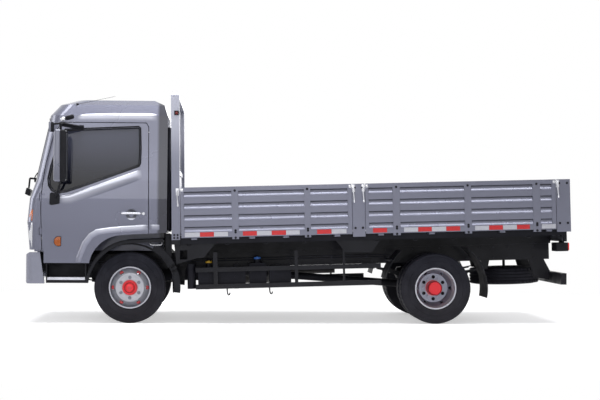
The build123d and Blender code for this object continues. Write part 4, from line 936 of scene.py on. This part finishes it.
class TRUCK_OT_door_dress(bpy.types.Operator):
    """Pressed bands of the cab's side and roof; handle, lock and side marker of each door"""
    bl_idname = "truck.door_dress"
    bl_label = "Door dressing"

    def execute(self, context):
        rise = context.scene.truck_sizes.swage_rise
        skin = skin_of("door_left")
        cab = skin_of("cab_shell")
        bm = bmesh.new()
        # the bands' paint takes a painted highlight along their upper lines
        ridge(bm, skin, [(-792, 1400), (-735, 1392), (-660, 1402), (-540, 1447), (60, 1666), (112, 1688)],
              [(-752, 1302), (-705, 1290), (-634, 1298), (-504, 1338), (92, 1556), (130, 1570)], rise,
              (-800, -700))
        pair("belt_swage", bm, "door_left", "band_paint", "paint", crisp=60)
        bm = bmesh.new()
        ridge(bm, skin, [(-592, 668), (-560, 772), (-517, 889), (-443, 985), (-369, 1027), (-246, 1046),
                         (-72, 1064), (196, 1081)],
              [(-533, 668), (-503, 750), (-462, 846), (-402, 928), (-345, 962), (-242, 980), (-72, 997),
               (196, 1013)], rise + 2, (-520, -300))
        pair("arch_swage", bm, "door_left", "band_paint", "paint", crisp=60)
        bm = bmesh.new()
        ridge(bm, cab, [(217, 1082), (250, 1082), (290, 1082), (320, 1081)],
              [(217, 1014), (250, 1015), (290, 1015), (320, 1014)], rise, (-520, -300))
        pair("arch_swage_end", bm, "cab", "band_paint", "paint", crisp=60)

        bm = bmesh.new()
        ridge(bm, cab, [(-590, 2268), (-500, 2286), (-200, 2298), (150, 2302), (285, 2296)],
              [(-590, 2206), (-500, 2208), (-200, 2208), (150, 2208), (285, 2206)], 5, (-640, -560),
              crest=0.8)
        pair("roof_swage", bm, "cab", "band_paint", "paint", crisp=60)

        def on_door(station, height, proud=0.0):
            foot = land(skin, at(station, -far_off, height), -left_of_truck, at(station, -970, height))
            return foot + left_of_truck * proud

        bm = bmesh.new()
        front_foot, rear_foot = on_door(-92, 1200), on_door(118, 1200)
        # columns: foot, shift to the left, shift to the rear
        grip = ((front_foot, -0.008, 0.0), (front_foot, 0.03, 0.0), (front_foot, 0.036, 0.03),
                (rear_foot, 0.036, -0.03), (rear_foot, 0.03, 0.0), (rear_foot, -0.008, 0.0))
        pipe(bm, [foot + left_of_truck * out + rear * back for foot, out, back in grip], 0.0125, 12)
        bar(bm, on_door(146, 1198, -0.006), on_door(146, 1198, 0.012), 0.015, 24)
        bar(bm, on_door(146, 1198, 0.010), on_door(146, 1198, 0.015), 0.009, 16)
        pair("door_handle", bm, "door_left", "bright", "paint")
        bm = bmesh.new()
        turned(bm, [(-3, 0), (0.4, 30), (1.2, 50), (2.6, 56), (1.8, 59), (-3, 60)], on_door(14, 1188),
               left_of_truck, 48)
        pair("handle_dish", bm, "door_left", "dish", "paint")

        outline = [(-748, 846), (-748, 938), (-775, 943), (-800, 933), (-815, 910), (-815, 874), (-800, 851),
                   (-775, 841)]
        for grow, depth, look, name in ((6, 9, "trim_black", "marker_base"),
                                        (0, 17, "orange", "side_marker")):
            shape = bmesh.new()
            ring = grown(outline, grow)
            foot = land(skin, at(-780, -far_off, 890), -left_of_truck, at(-780, -970, 890)).y * 1000
            side_plate(shape, ring, foot + 1, depth, 0.003)
            pair(name, shape, "door_left", look, "lamp")
        return {"FINISHED"}


class TRUCK_OT_front(bpy.types.Operator):
    """Headlamps behind clear lenses, corner lamps, bumper lamps, blank plate, bumper screen, grille bars"""
    bl_idname = "truck.front"
    bl_label = "Front"

    def lamp_face(self):
        """The headlamps' outer faces, taken from a merged copy of the frame's node."""
        bm = bmesh.new()
        bm.from_mesh(frame["nodes"]["headlamps"].data)
        bmesh.ops.remove_doubles(bm, verts=bm.verts, dist=1e-5)
        back = [face for face in bm.faces if face.normal.x > -0.12]
        bmesh.ops.delete(bm, geom=back, context="FACES")
        return bm

    def execute(self, context):
        bm = self.lamp_face()
        bmesh.ops.recalc_face_normals(bm, faces=bm.faces)
        if sum(face.normal.x for face in bm.faces) > 0:
            bmesh.ops.reverse_faces(bm, faces=bm.faces)
        housing = bm.copy()
        for vert in housing.verts:
            vert.co += rear * 0.036
        bmesh.ops.solidify(bm, geom=list(bm.faces), thickness=0.003)
        lens = finish_piece("headlamp_lenses", bm, "cab", "lens")
        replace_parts(lens, "headlamps")
        bmesh.ops.solidify(housing, geom=list(housing.faces), thickness=0.003)
        finish_piece("headlamp_housings", housing, "cab", "dark_grey")

        side = skin_of("headlamps", "cab_shell")
        for name, heights, look in (("corner_lens", (806, 1098), "bright"),
                                    ("corner_indicator", (1108, 1238), "orange")):
            bm = bmesh.new()
            low, high = heights
            middle, shrink = (-1086, sum(heights) / 2), 0.04
            ring = [(-1122, low + 14), (-1110, low), (-1058, low + 4), (-1050, high - 6), (-1060, high),
                    (-1116, high - 8)]
            ribbon(bm, ring, [(middle[0] + (s - middle[0]) * shrink, middle[1] + (h - middle[1]) * shrink)
                              for s, h in ring], off_side, 5)
            bmesh.ops.holes_fill(bm, edges=bm.edges, sides=8)
            settle(bm, side, -left_of_truck, 0.002)
            thicken(bm, 0.0025)
            pair(name, bm, "cab", look, "lamp")

        skin = skin_of("headlamps", "bumper", "cab_shell", "grille")

        def face_of(width, height):
            return land(skin, at(-far_off, width, height), rear, at(-1120, width, height))

        bm = bmesh.new()
        # columns: width, height, radius
        for width, height, radius in ((-795, 930, 72), (-655, 930, 62)):
            ends = (-radius, radius)
            rim = max(face_of(width + across, height + rise).x for across in ends for rise in ends)
            centre = Vector((rim + 0.006, width / 1000, height / 1000))
            turned(bm, [(0, radius), (8, radius * 0.93), (20, radius * 0.62), (26, radius * 0.25), (26, 0)],
                   centre, rear, 40)
            turned(bm, [(6, 0), (7, radius * 0.16), (24, radius * 0.2)], centre, rear, 20)
        pair("reflectors", bm, "cab", "lamp", "lamp")
        bm = bmesh.new()
        rim = face_of(-840, 1160).x
        plate(bm, [Vector((rim + 0.012, w / 1000, h / 1000))
                   for w, h in ((-896, 1118), (-668, 1100), (-655, 1140), (-896, 1206))], rear * 0.014, 0.004)
        pair("indicator", bm, "cab", "orange", "lamp")

        bm = bmesh.new()
        chrome = bmesh.new()
        for width in (-700, 700):
            centre = face_of(width - 74 if width < 0 else width + 74, 585)
            centre.y = width / 1000
            centre.x += 0.012
            turned(bm, [(0, 0), (1, 24), (5, 44), (12, 52), (16, 52)], centre, rear, 36)
            turned(chrome, [(-2, 61), (-2, 52), (20, 52), (20, 61), (-2, 61)], centre, rear, 36)
        finish_piece("bumper_lamp_lenses", bm, "chassis", "white_lens")
        finish_piece("bumper_lamp_rims", chrome, "chassis", "bright")

        bm = bmesh.new()
        plate_x = face_of(0, 690).x
        plate(bm, [Vector((plate_x - 0.001, w / 1000, h / 1000))
                   for w, h in ((-220, 632), (220, 632), (220, 742), (-220, 742))], -rear * 0.004, 0.002)
        finish_piece("front_blank_plate", bm, "chassis", "blank_plate")

        wall = skin_of("bumper")
        screen_depth, slat_depth = 48, 22       # behind the bumper's face

        def behind(width, height, depth):
            place = land(wall, at(-far_off, width, 650), rear, at(-1180, width, 650))
            return Vector((place.x + depth / 1000, place.y, height / 1000))

        bm = bmesh.new()
        chains = []
        for height in (494, 626):
            verts = [bm.verts.new(behind(width, height, screen_depth)) for width in range(-480, 481, 60)]
            chains += [bm.edges.new(edge) for edge in zip(verts, verts[1:])]
        bmesh.ops.bridge_loops(bm, edges=chains)
        thicken(bm, 0.003)
        finish_piece("bumper_screen", bm, "chassis", "trim_black")
        bm = bmesh.new()
        # columns: height, half length
        for height, reach in ((528, 440), (560, 451), (592, 440)):
            pipe(bm, [behind(reach * step / 4, height, slat_depth) for step in range(-4, 5)], 0.007)
        finish_piece("bumper_slats", bm, "chassis", "dark_grey")

        bm = bmesh.new()
        for row in range(3):
            height = 940 + row * 70
            points = [face_of(-460 + 115 * step, height + 2) - rear * 0.003 for step in range(9)]
            pipe(bm, points, 0.007)
        finish_piece("grille_bars", bm, "cab", "bright")
        return {"FINISHED"}


class TRUCK_OT_mirrors(bpy.types.Operator):
    """Door mirrors: shells, glass, arms and feet"""
    bl_idname = "truck.mirrors"
    bl_label = "Mirrors"

    def execute(self, context):
        bm = bmesh.new()
        box(bm, (-803, -722), (-1250, -1070), (1533, 2095), 0.028, 4)
        box(bm, (-857, -826), (-1235, -1085), (2070, 2176), 0.012, 3)
        shells = pair("mirror_shell", bm, "door_left", "mirror_shell", "mirror_shell")
        for piece, node in zip(shells, ("mirror_left", "mirror_right")):
            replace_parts(piece, node)
        bm = bmesh.new()
        for stations, widths, heights, corner in (((-740, -664), (-1249, -1071), (1536, 2092), 0.022),
                                                  ((-836, -812), (-1234, -1086), (2071, 2175), 0.009)):
            box(bm, stations, widths, heights, corner, 3)
            limit = at(stations[1] - 1, 0, 0).x
            back = max(bm.faces, key=lambda face: (face.calc_center_median().x > limit) * face.calc_area())
            bmesh.ops.inset_region(bm, faces=[back], thickness=0.006, use_boundary=True)
            bmesh.ops.translate(bm, vec=-rear * 0.005, verts=back.verts)
        post = [at(-735, -1160, 2090), at(-735, -1160, 2150), at(-722, -1150, 2162), at(-690, -1110, 2160),
                at(-540, -912, 2138)]
        pipe(bm, post, 0.013, 12)
        pipe(bm, [at(-735, -1160, 2158), at(-800, -1160, 2160), at(-826, -1160, 2150)], 0.010, 12)
        pipe(bm, [at(-735, -1160, 1540), at(-738, -1150, 1518), at(-770, -1060, 1440), at(-800, -992, 1375)],
             0.013, 12)
        side_plate(bm, [(-872, 1292), (-850, 1284), (-765, 1300), (-758, 1392), (-775, 1408), (-850, 1425),
                        (-868, 1408)], -971, 13, 0.004)
        side_plate(bm, [(-566, 2112), (-514, 2112), (-514, 2160), (-566, 2160)], -896, 16, 0.004)
        plate(bm, [at(-752, -1152, 2178), at(-532, -902, 2150), at(-532, -902, 2108), at(-752, -1152, 2132)],
              Vector((0.010, -0.008, 0)), 0.003)
        pair("mirror_frame", bm, "door_left", "trim_black", "mirror_shell")
        bm = bmesh.new()
        for station, widths, heights in ((-668, (-1240, -1080), (1546, 2082)),
                                         (-816, (-1225, -1095), (2080, 2166))):
            box(bm, (station - 3, station), widths, heights, 0.001, 1)
        pair("mirror_glass", bm, "door_left", "mirror", "mirror_shell")
        return {"FINISHED"}


class TRUCK_OT_roof(bpy.types.Operator):
    """Aerial and roof lamps"""
    bl_idname = "truck.roof"
    bl_label = "Roof fittings"

    def execute(self, context):
        skin = skin_of("cab_shell")
        foot = land(skin, at(-600, -815, far_off), -up, at(-600, -815, 2360))
        bm = bmesh.new()
        tip = at(-180, -815, 2486)
        turned(bm, [(-4, 14), (8, 13), (16, 7), (24, 4), (24, 0)], foot, (tip - foot).normalized(), 20)
        bar(bm, foot + (tip - foot).normalized() * 0.02, tip, 0.0022, 8, 0.0014)
        finish_piece("aerial", bm, "cab", "trim_black")
        for name, stations, look in (("roof_lamp_lens", (-773, -716), "bright"),
                                     ("roof_lamp_body", (-718, -621), "trim_black")):
            bm = bmesh.new()
            middle = sum(stations) / 2
            wall = land(skin, at(middle, -far_off, 2236), -left_of_truck, at(middle, -900, 2236)).y * 1000
            box(bm, stations, (wall - 18, wall + 40), (2214, 2262), 0.016, 3)
            pivot = Matrix.Translation(at(-697, 0, 2240))
            slope = pivot @ Matrix.Rotation(math.radians(-16), 4, "Y") @ pivot.inverted()
            pair(name, bm, "cab", look, "lamp", slope)
        return {"FINISHED"}


class TRUCK_OT_steps(bpy.types.Operator):
    """Perforated tread plates on the cab's steps, brackets, and skirts and liners over the front wheels"""
    bl_idname = "truck.steps"
    bl_label = "Step plates"

    def execute(self, context):
        bm = bmesh.new()
        first, last, near, far, top = -891.0, -484.0, -957.0, -792.0, 499.0
        bmesh.ops.create_grid(bm, x_segments=24, y_segments=9, size=0.5)
        bmesh.ops.scale(bm, vec=((last - first) / 1000, (far - near) / 1000, 1), verts=bm.verts)
        bmesh.ops.translate(bm, vec=at((first + last) / 2, (near + far) / 2, top), verts=bm.verts)
        cells = list(bm.faces)
        bmesh.ops.inset_individual(bm, faces=cells, thickness=0.0045)
        bmesh.ops.translate(bm, vec=-up * 0.002, verts=list({v for face in cells for v in face.verts}))
        bmesh.ops.delete(bm, geom=cells, context="FACES")
        thicken(bm, 0.002)
        pair("tread_plate", bm, "cab", "step_plate", "trim_black")
        bm = bmesh.new()
        box(bm, (first, last), (near - 4, near + 2), (top - 26, top + 2), 0.002)
        for tooth in range(20):
            station = first + 12 + tooth * (last - first - 24) / 19
            bar(bm, at(station, near - 1, top), at(station, near - 1, top + 6), 0.005, 10, 0.003)
        pair("tread_edge", bm, "cab", "step_plate", "trim_black")
        bm = bmesh.new()
        pipe(bm, [at(215, -906, 898), at(215, -918, 862), at(232, -920, 856), at(330, -920, 856),
                  at(347, -918, 862), at(347, -906, 898)], 0.007)
        pair("cab_bracket", bm, "cab", "bright", "trim_black")
        bm = bmesh.new()
        self.sector(bm, (-6, 60), 480, 552, -922, 4)
        pair("arch_skirt", bm, "cab", "trim_black", "trim_black")
        bm = bmesh.new()
        self.sector(bm, (28, 150), 470, 480, -918, 260)
        pair("arch_liner", bm, "cab", "trim_black", "trim_black")
        return {"FINISHED"}

    def sector(self, bm, angles, inner, outer, width, inward):
        """Part of a ring round the front wheel's centre, from one angle to another."""
        steps = 22
        for step in range(steps):
            first, last = (math.radians(angles[0] + (angles[1] - angles[0]) * (step + more) / steps)
                           for more in (0, 1))
            corners = [(radius * math.cos(angle), axle_height + radius * math.sin(angle))
                       for radius, angle in ((inner, first), (outer, first), (outer, last), (inner, last))]
            plate(bm, [at(s, width, h) for s, h in corners], -left_of_truck * inward / 1000)
        bmesh.ops.remove_doubles(bm, verts=bm.verts, dist=1e-5)


class TRUCK_OT_seats(bpy.types.Operator):
    """Padded seats: cushions, backs and head rests"""
    bl_idname = "truck.seats"
    bl_label = "Seats"

    def pad(self, name, corners, widths, channels, cap, fill):
        """A pad from the corners of its side view, swollen, with sewn channels along the truck."""
        bm = bmesh.new()
        plate(bm, [at(s, widths[1], h) for s, h in corners], left_of_truck * (widths[1] - widths[0]) / 1000,
              0.03, 3)
        bmesh.ops.recalc_face_normals(bm, faces=bm.faces)
        mesh = bpy.data.meshes.new(name)
        bm.to_mesh(mesh)
        bm.free()
        piece = bpy.data.objects.new(name, mesh)
        bpy.context.scene.collection.objects.link(piece)
        remesh = piece.modifiers.new("remesh", "REMESH")
        remesh.mode = "VOXEL"
        remesh.voxel_size = 0.008
        rest = self.applied(piece)
        piece.modifiers.clear()
        piece.data = rest
        start = [vert.co.copy() for vert in rest.vertices]
        cloth = piece.modifiers.new("swell", "CLOTH")
        cloth.settings.use_pressure = True
        cloth.settings.uniform_pressure_force = 4.0
        cloth.settings.effector_weights.gravity = 0.0
        moments = 20
        cloth.point_cache.frame_end = moments
        for moment in range(1, moments + 1):
            bpy.context.scene.frame_set(moment)
        piece.data = self.applied(piece)
        piece.modifiers.clear()
        swollen = piece.data
        low = min(place.z for place in start)
        seam_half, seam_depth = 0.02, 0.007
        for vert, before in zip(swollen.vertices, start):
            shift = vert.co - before
            if shift.length > cap:
                vert.co = before + shift.normalized() * cap
            vert.co.z = max(vert.co.z, low)
            for width in channels:
                apart = abs(vert.co.y - width / 1000)
                if apart < seam_half:
                    vert.co -= Vector(vert.normal) * seam_depth * (1 - apart / seam_half) ** 2
        for polygon in swollen.polygons:
            polygon.use_smooth = True
        bpy.context.scene.frame_set(1)
        refine = piece.modifiers.new("refine", "SUBSURF")
        refine.levels = refine.render_levels = 1
        swollen.materials.clear()
        swollen.materials.append(finishes["cloth"])
        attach(piece, "cab")
        return piece

    def applied(self, piece):
        """The piece's mesh with its modifiers carried out."""
        graph = bpy.context.evaluated_depsgraph_get()
        graph.update()
        return bpy.data.meshes.new_from_object(piece.evaluated_get(graph))

    def execute(self, context):
        made = []
        for side, middle in (("left", -610), ("right", 610)):
            low, high = middle - 232, middle + 232
            channels = (middle - 110, middle, middle + 110)
            made.append(self.pad(f"seat_cushion_{side}", [(-402, 1042), (72, 1042), (72, 1132), (-384, 1160)],
                                 (low, high), channels, 0.016, 0.7))
            made.append(self.pad(f"seat_back_{side}", [(112, 1150), (170, 1062), (222, 1150), (316, 1684),
                                                       (240, 1686)], (low, high), channels, 0.014, 0.7))
            made.append(self.pad(f"head_rest_{side}", [(252, 1716), (308, 1716), (314, 1842), (266, 1850)],
                                 (middle - 122, middle + 122), (), 0.012, 0.8))
        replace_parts(made[0], "seats")
        bm = bmesh.new()
        for middle in (-610, 610):
            for width in (-60, 60):
                bar(bm, at(276, middle + width, 1660), at(284, middle + width, 1730), 0.006)
            box(bm, (-380, 60), (middle - 210, middle + 210), (1026, 1046), 0.006)
        finish_piece("seat_frames", bm, "cab", "trim_black")
        return {"FINISHED"}


class TRUCK_OT_cab_inside(bpy.types.Operator):
    """Dashboard dressing and gear lever"""
    bl_idname = "truck.cab_inside"
    bl_label = "Cab inside"

    def execute(self, context):
        bm = bmesh.new()
        side_plate(bm, [(-900, 1400), (-780, 1372), (-752, 1400), (-800, 1462), (-880, 1470)], -460, 300,
                   0.012)
        box(bm, (-790, -738), (-170, 170), (1080, 1370), 0.012)
        for width in (-820, -230, 230, 820):
            box(bm, (-775, -742), (width - 60, width + 60), (1296, 1352), 0.01)
        finish_piece("dash_dressing", bm, "cab", "trim_black")
        bm = bmesh.new()
        lever_foot = at(-420, -90, 1132)
        turned(bm, [(0, 70), (14, 62), (26, 46), (40, 30), (58, 20), (72, 12), (72, 0)], lever_foot, up, 28)
        pipe(bm, [lever_foot + up * 0.05, lever_foot + Vector((-0.01, 0, 0.18)),
                  lever_foot + Vector((-0.05, -0.01, 0.30))], 0.008)
        turned(bm, [(0, 0), (4, 14), (18, 24), (36, 22), (48, 10), (50, 0)],
               lever_foot + Vector((-0.048, -0.01, 0.285)), Vector((-0.2, 0, 1)).normalized(), 24)
        finish_piece("gear_lever", bm, "cab", "trim_black")
        return {"FINISHED"}


class TRUCK_OT_tape(bpy.types.Operator):
    """Red and white reflective tape along the boards"""
    bl_idname = "truck.tape"
    bl_label = "Reflective tape"

    # columns: first station, last station, colour
    patches = {
        "front_board": ((598, 763, "white"), (763, 915, "red"), (915, 1068, "white"), (1228, 1382, "red"),
                        (1382, 1542, "white"), (1542, 1699, "red"), (1699, 1849, "white"),
                        (2037, 2196, "red"), (2196, 2360, "white")),
        "rear_board": ((2650, 2806, "red"), (2991, 3147, "white"), (3147, 3298, "red"), (3298, 3456, "white"),
                       (3456, 3611, "red"), (3775, 3931, "white"), (3931, 4085, "red"), (4085, 4240, "white"),
                       (4240, 4384, "red"), (4516, 4672, "white")),
    }
    board_face, tail_face = -1050.4, 4842.4

    def execute(self, context):
        thickness = context.scene.truck_sizes.tape_thickness * 1000
        for board, patches in self.patches.items():
            for colour in ("red", "white"):
                bm = bmesh.new()
                for first, last, shade in patches:
                    if shade == colour:
                        box(bm, (first + 1, last - 1), (self.board_face - thickness, self.board_face),
                            (944, 992))
                pair(f"{board}_tape_{colour}", bm, f"{board}_left", f"tape_{colour}", "tail_red", raked)
        for colour, offset in (("red", 0), ("white", 1)):
            bm = bmesh.new()
            for strip in range(offset, 12, 2):
                width = -900 + strip * 150
                box(bm, (self.tail_face, self.tail_face + thickness), (width + 1, width + 149), (940, 976))
            finish_piece(f"tail_tape_{colour}", bm, "tail_board", f"tape_{colour}", raked)
        return {"FINISHED"}


class TRUCK_OT_board_fittings(bpy.types.Operator):
    """Bolts, latches and keepers of the side boards and posts"""
    bl_idname = "truck.board_fittings"
    bl_label = "Board fittings"

    def execute(self, context):
        radius = context.scene.truck_sizes.bolt_radius
        stakes = {"front_board": (1150, 1939), "rear_board": (2915, 3704, 4467)}
        for board, middles in stakes.items():
            bm = bmesh.new()
            for middle in middles:
                for height in (1438, 984, 1004, 925):
                    bolt(bm, at(middle, -1050, height), left_of_truck, radius)
            pair(f"{board}_bolts", bm, f"{board}_left", "bolt_black", "frame_black", raked)
        face, sheet = -1046.0, -1030.5
        first_row, row_pitch, rows, half_recess = 1024, 127, 4, 31
        # columns: rise from the recess's edge, width
        swage = [(0, face + 0.4), (3, face - 2.6), (7, face - 3.0), (12, face - 1.0), (18, face + 4),
                 (27, face + 9), (38, sheet - 0.6), (38, sheet + 2), (0, sheet + 2)]
        # section of a thin dark strip on each rib's downward bevel: a sheet of painted shade
        flank = [(-13, sheet - 0.8), (-2, face + 2.6), (-1, face + 4.6), (-12, sheet + 1.2)]
        # the boards' spans between their frames and stakes
        spans = {"front_board": ((598, 1112), (1188, 1904), (1974, 2379)),
                 "rear_board": ((2612, 2873), (2957, 3665), (3744, 4423), (4511, 4634))}
        # the swages take a painted highlight; the strips on the rib bevels take painted shade
        for board, runs in spans.items():
            for name, look, section, edge, crisp in (("swages", "swage", swage, -half_recess, 50),
                                                     ("painted_shade_strips", "flank", flank, half_recess, 32)):
                bm = bmesh.new()
                for first, last in runs:
                    for row in range(rows):
                        height = first_row + row * row_pitch + edge
                        plate(bm, [at(first, width, height + rise) for rise, width in section],
                              rear * (last - first) / 1000)
                pair(f"{board}_{name}", bm, f"{board}_left", look, "bed_paint", raked, crisp)
        bm = bmesh.new()
        for station in (2460, 2541, 4720, 4808):
            for height in (1000, 1440):
                bolt(bm, at(station, -1050, height), left_of_truck, radius)
        pair("post_bolts", bm, "chassis", "bolt_black", "frame_black", raked)

        bm = bmesh.new()
        for station in (2448, 2553, 4703):
            self.latch(bm, station)
        pair("post_latches", bm, "chassis", "bright", "bed_paint", raked)
        bm = bmesh.new()
        self.latch(bm, 528)
        pair("head_latch", bm, "chassis", "bright", "bed_paint", raked)
        for board, stations in (("front_board", (578, 2408)), ("rear_board", (2594, 4662))):
            bm = bmesh.new()
            for station in stations:
                box(bm, (station - 13, station + 13), (-1056, -1049), (1440, 1472), 0.002)
                bar(bm, at(station, -1056, 1456), at(station, -1064, 1456), 0.006, 12)
            pair(f"{board}_keepers", bm, f"{board}_left", "bright", "bed_paint", raked)
        bm = bmesh.new()
        for width in (-985, 985):
            box(bm, (4843, 4846), (width - 22, width + 22), (1380, 1470), 0.001)
            bar(bm, at(4841, width, 1425), at(4846, width, 1425), 0.012, 16)
        finish_piece("tail_latches", bm, "tail_board", "bright", raked)
        return {"FINISHED"}

    def latch(self, bm, station):
        """A latch: its base, its pivot and the handle that hangs from it."""
        box(bm, (station - 16, station + 16), (-1055, -1049.5), (1396, 1476), 0.002)
        bar(bm, at(station, -1054, 1456), at(station, -1072, 1456), 0.009, 16)
        pipe(bm, [at(station, -1066, 1462), at(station, -1070, 1440), at(station - 3, -1072, 1380),
                  at(station + 2, -1070, 1320), at(station + 4, -1066, 1296)], 0.0075)
        turned(bm, [(0, 0), (2, 8), (12, 11), (26, 9), (30, 0)], at(station + 4, -1066, 1276), up, 16)


class TRUCK_OT_headboard_fittings(bpy.types.Operator):
    """Lamps and bolts on the headboard's pillars"""
    bl_idname = "truck.headboard_fittings"
    bl_label = "Headboard fittings"

    def execute(self, context):
        bm = bmesh.new()
        box(bm, (474, 526), (-1062, -1048), (2268, 2318), 0.005)
        pair("pillar_lamp_base", bm, "chassis", "trim_black", "lamp")
        bm = bmesh.new()
        turned(bm, [(0, 17), (5, 16), (8, 10), (9, 0)], at(500, -1061, 2293), left_of_truck, 24)
        pair("pillar_lamp", bm, "chassis", "red_lens", "lamp")
        bm = bmesh.new()
        for station in (484, 520):
            for height in (936, 968):
                bolt(bm, at(station, -1050, height), left_of_truck, 0.009)
        pair("pillar_bolts", bm, "chassis", "bolt_black", "bed_paint")
        return {"FINISHED"}


class TRUCK_OT_underbody(bpy.types.Operator):
    """Frame bolts, pipes, dampers, brake chambers, spring clamps, tank caps, hooks and flaps"""
    bl_idname = "truck.underbody"
    bl_label = "Underbody"

    def execute(self, context):
        bm = bmesh.new()
        for index in range(36):
            station = -860 + index * 155
            for height in (612, 738):
                bolt(bm, at(station, -390, height), left_of_truck, 0.008, 0.006)
        pair("frame_bolts", bm, "chassis", "bolt_black", "frame_black", raked)
        bm = bmesh.new()
        for height in (660, 684):
            pipe(bm, [at(-820, -380, height - 60), at(-760, -398, height), at(-600, -399, height),
                      at(2600, -399, height), at(2900, -399, height), at(2960, -384, height - 30)], 0.005)
        for index in range(9):
            station = -560 + index * 400
            box(bm, (station - 9, station + 9), (-404, -389.6), (650, 694), 0.002)
        pair("brake_pipes", bm, "chassis", "dark_grey", "frame_black", raked)

        bm = bmesh.new()
        top, foot = at(-240, -430, 690), at(-90, -470, 400)
        reach = (foot - top).length * 1000
        turned(bm, [(0, 0), (0, 18), (20, 18), (22, 30), (reach * 0.52, 30), (reach * 0.53, 24),
                    (reach * 0.96, 24), (reach, 16), (reach, 0)], top, (foot - top).normalized(), 28)
        bar(bm, at(-240, -389, 690), at(-240, -450, 690), 0.012)
        pair("front_dampers", bm, "chassis", "frame_black", "frame_black")

        bm = bmesh.new()
        for station, seat, leaves in ((0, 357, 5), (wheelbase, 460, 8)):
            top = seat + leaves * 10 + 12
            for shift in (-46, 46):
                pipe(bm, [at(station + shift, -312, seat - 40), at(station + shift, -312, top),
                          at(station + shift, -314, top + 8), at(station + shift, -392, top + 8),
                          at(station + shift, -394, top), at(station + shift, -394, seat - 40)], 0.008)
                for width in (-312, -394):
                    bolt(bm, at(station + shift, width, seat - 26), -up, 0.013, 0.016)
        pair("spring_clamps", bm, "chassis", "bolt_black", "frame_black")

        bm = bmesh.new()
        chamber = at(wheelbase - 300, -262, 520)
        turned(bm, [(0, 0), (0, 50), (8, 66), (50, 72), (58, 78), (70, 78), (78, 72), (120, 62), (150, 48),
                    (154, 0)], chamber, rear, 36)
        bar(bm, chamber + rear * 0.15, at(wheelbase - 70, -262, 500), 0.010)
        pair("brake_chambers", bm, "chassis", "frame_black", "frame_black")

        bm = bmesh.new()
        cap_top = [(0, 0), (0, 33), (4, 36), (20, 36), (24, 31), (26, 14), (30, 12), (30, 0)]
        turned(bm, cap_top, at(850, -820, 648), up, 12)
        finish_piece("fuel_cap", bm, "chassis", "yellow", raked, 20)
        bm = bmesh.new()
        turned(bm, [(d, r * 1.1) for d, r in cap_top], at(1385, -800, 678), up, 12)
        finish_piece("blue_cap", bm, "chassis", "blue", raked, 20)

        bm = bmesh.new()
        for station in (1045, 1509):
            pipe(bm, [at(station, -952, 380), at(station, -958, 330), at(station + 10, -958, 300),
                      at(station + 26, -958, 300), at(station + 30, -958, 326)], 0.007)
        for station in (640, 1060, 1480, 1900, 2700, 3120, 3540, 3960, 4380):
            pipe(bm, [at(station - 26, -984, 884), at(station - 26, -994, 868), at(station - 14, -997, 850),
                      at(station + 14, -997, 850), at(station + 26, -994, 868), at(station + 26, -984, 884)],
                 0.006, 8)
        pair("rope_hooks", bm, "chassis", "frame_black", "frame_black", raked)

        bm = bmesh.new()
        side_plate(bm, [(468, 332), (474, 332), (462, 660), (456, 660)], -640, 290, 0.0015)
        pair("front_flaps", bm, "chassis", "trim_black", "trim_black")
        return {"FINISHED"}


class TRUCK_OT_tail(bpy.types.Operator):
    """Lenses of the tail lamps"""
    bl_idname = "truck.tail"
    bl_label = "Tail"

    def execute(self, context):
        low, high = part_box("tail_lamps")
        bottom, lamp_height = low.z + 0.012, 0.085
        reach = -low.y - 0.58       # the lens's width, from the lamp's outer end
        # columns: finish, first and last share of the lamp's width
        for look, first, last in (("red_lens", 0.0, 0.4), ("orange", 0.4, 0.7), ("white_lens", 0.7, 1.0)):
            bm = bmesh.new()
            widths = (low.y + reach * first + 0.006, low.y + reach * last + (0.002 if last < 1 else -0.006))
            block(bm, Vector((high.x - 0.001, widths[0], bottom)),
                  Vector((high.x + 0.012, widths[1], bottom + lamp_height)), 0.004)
            pair(f"tail_{look}", bm, "chassis", look, "tail_red")
        return {"FINISHED"}


class TRUCK_PT_panel(bpy.types.Panel):
    """The truck's pieces, in the order they are built"""
    bl_idname = "TRUCK_PT_panel"
    bl_label = "Truck"
    bl_space_type = "VIEW_3D"
    bl_region_type = "UI"
    bl_category = "Truck"

    def draw(self, context):
        for group in (context.scene.truck_sizes, context.scene.truck_colours):
            for name in group.bl_rna.properties.keys():
                if name not in ("rna_type", "name"):
                    self.layout.prop(group, name)
        for operator in operators:
            self.layout.operator(operator.bl_idname)


operators = (TRUCK_OT_stage, TRUCK_OT_finishes, TRUCK_OT_tyres, TRUCK_OT_glazing, TRUCK_OT_door_dress,
             TRUCK_OT_front, TRUCK_OT_mirrors, TRUCK_OT_roof, TRUCK_OT_steps, TRUCK_OT_seats,
             TRUCK_OT_cab_inside, TRUCK_OT_tape, TRUCK_OT_board_fittings, TRUCK_OT_headboard_fittings,
             TRUCK_OT_underbody, TRUCK_OT_tail)
classes = (TruckSizes, TruckColours, *operators, TRUCK_PT_panel)


def register():
    for cls in classes:
        bpy.utils.register_class(cls)
    bpy.types.Scene.truck_sizes = bpy.props.PointerProperty(type=TruckSizes)
    bpy.types.Scene.truck_colours = bpy.props.PointerProperty(type=TruckColours)


def unregister():
    del bpy.types.Scene.truck_sizes
    del bpy.types.Scene.truck_colours
    for cls in reversed(classes):
        bpy.utils.unregister_class(cls)


def main():
    register()
    for operator in operators:
        group, name = operator.bl_idname.split(".")
        getattr(getattr(bpy.ops, group), name)()


if __name__ == "__main__":
    main()
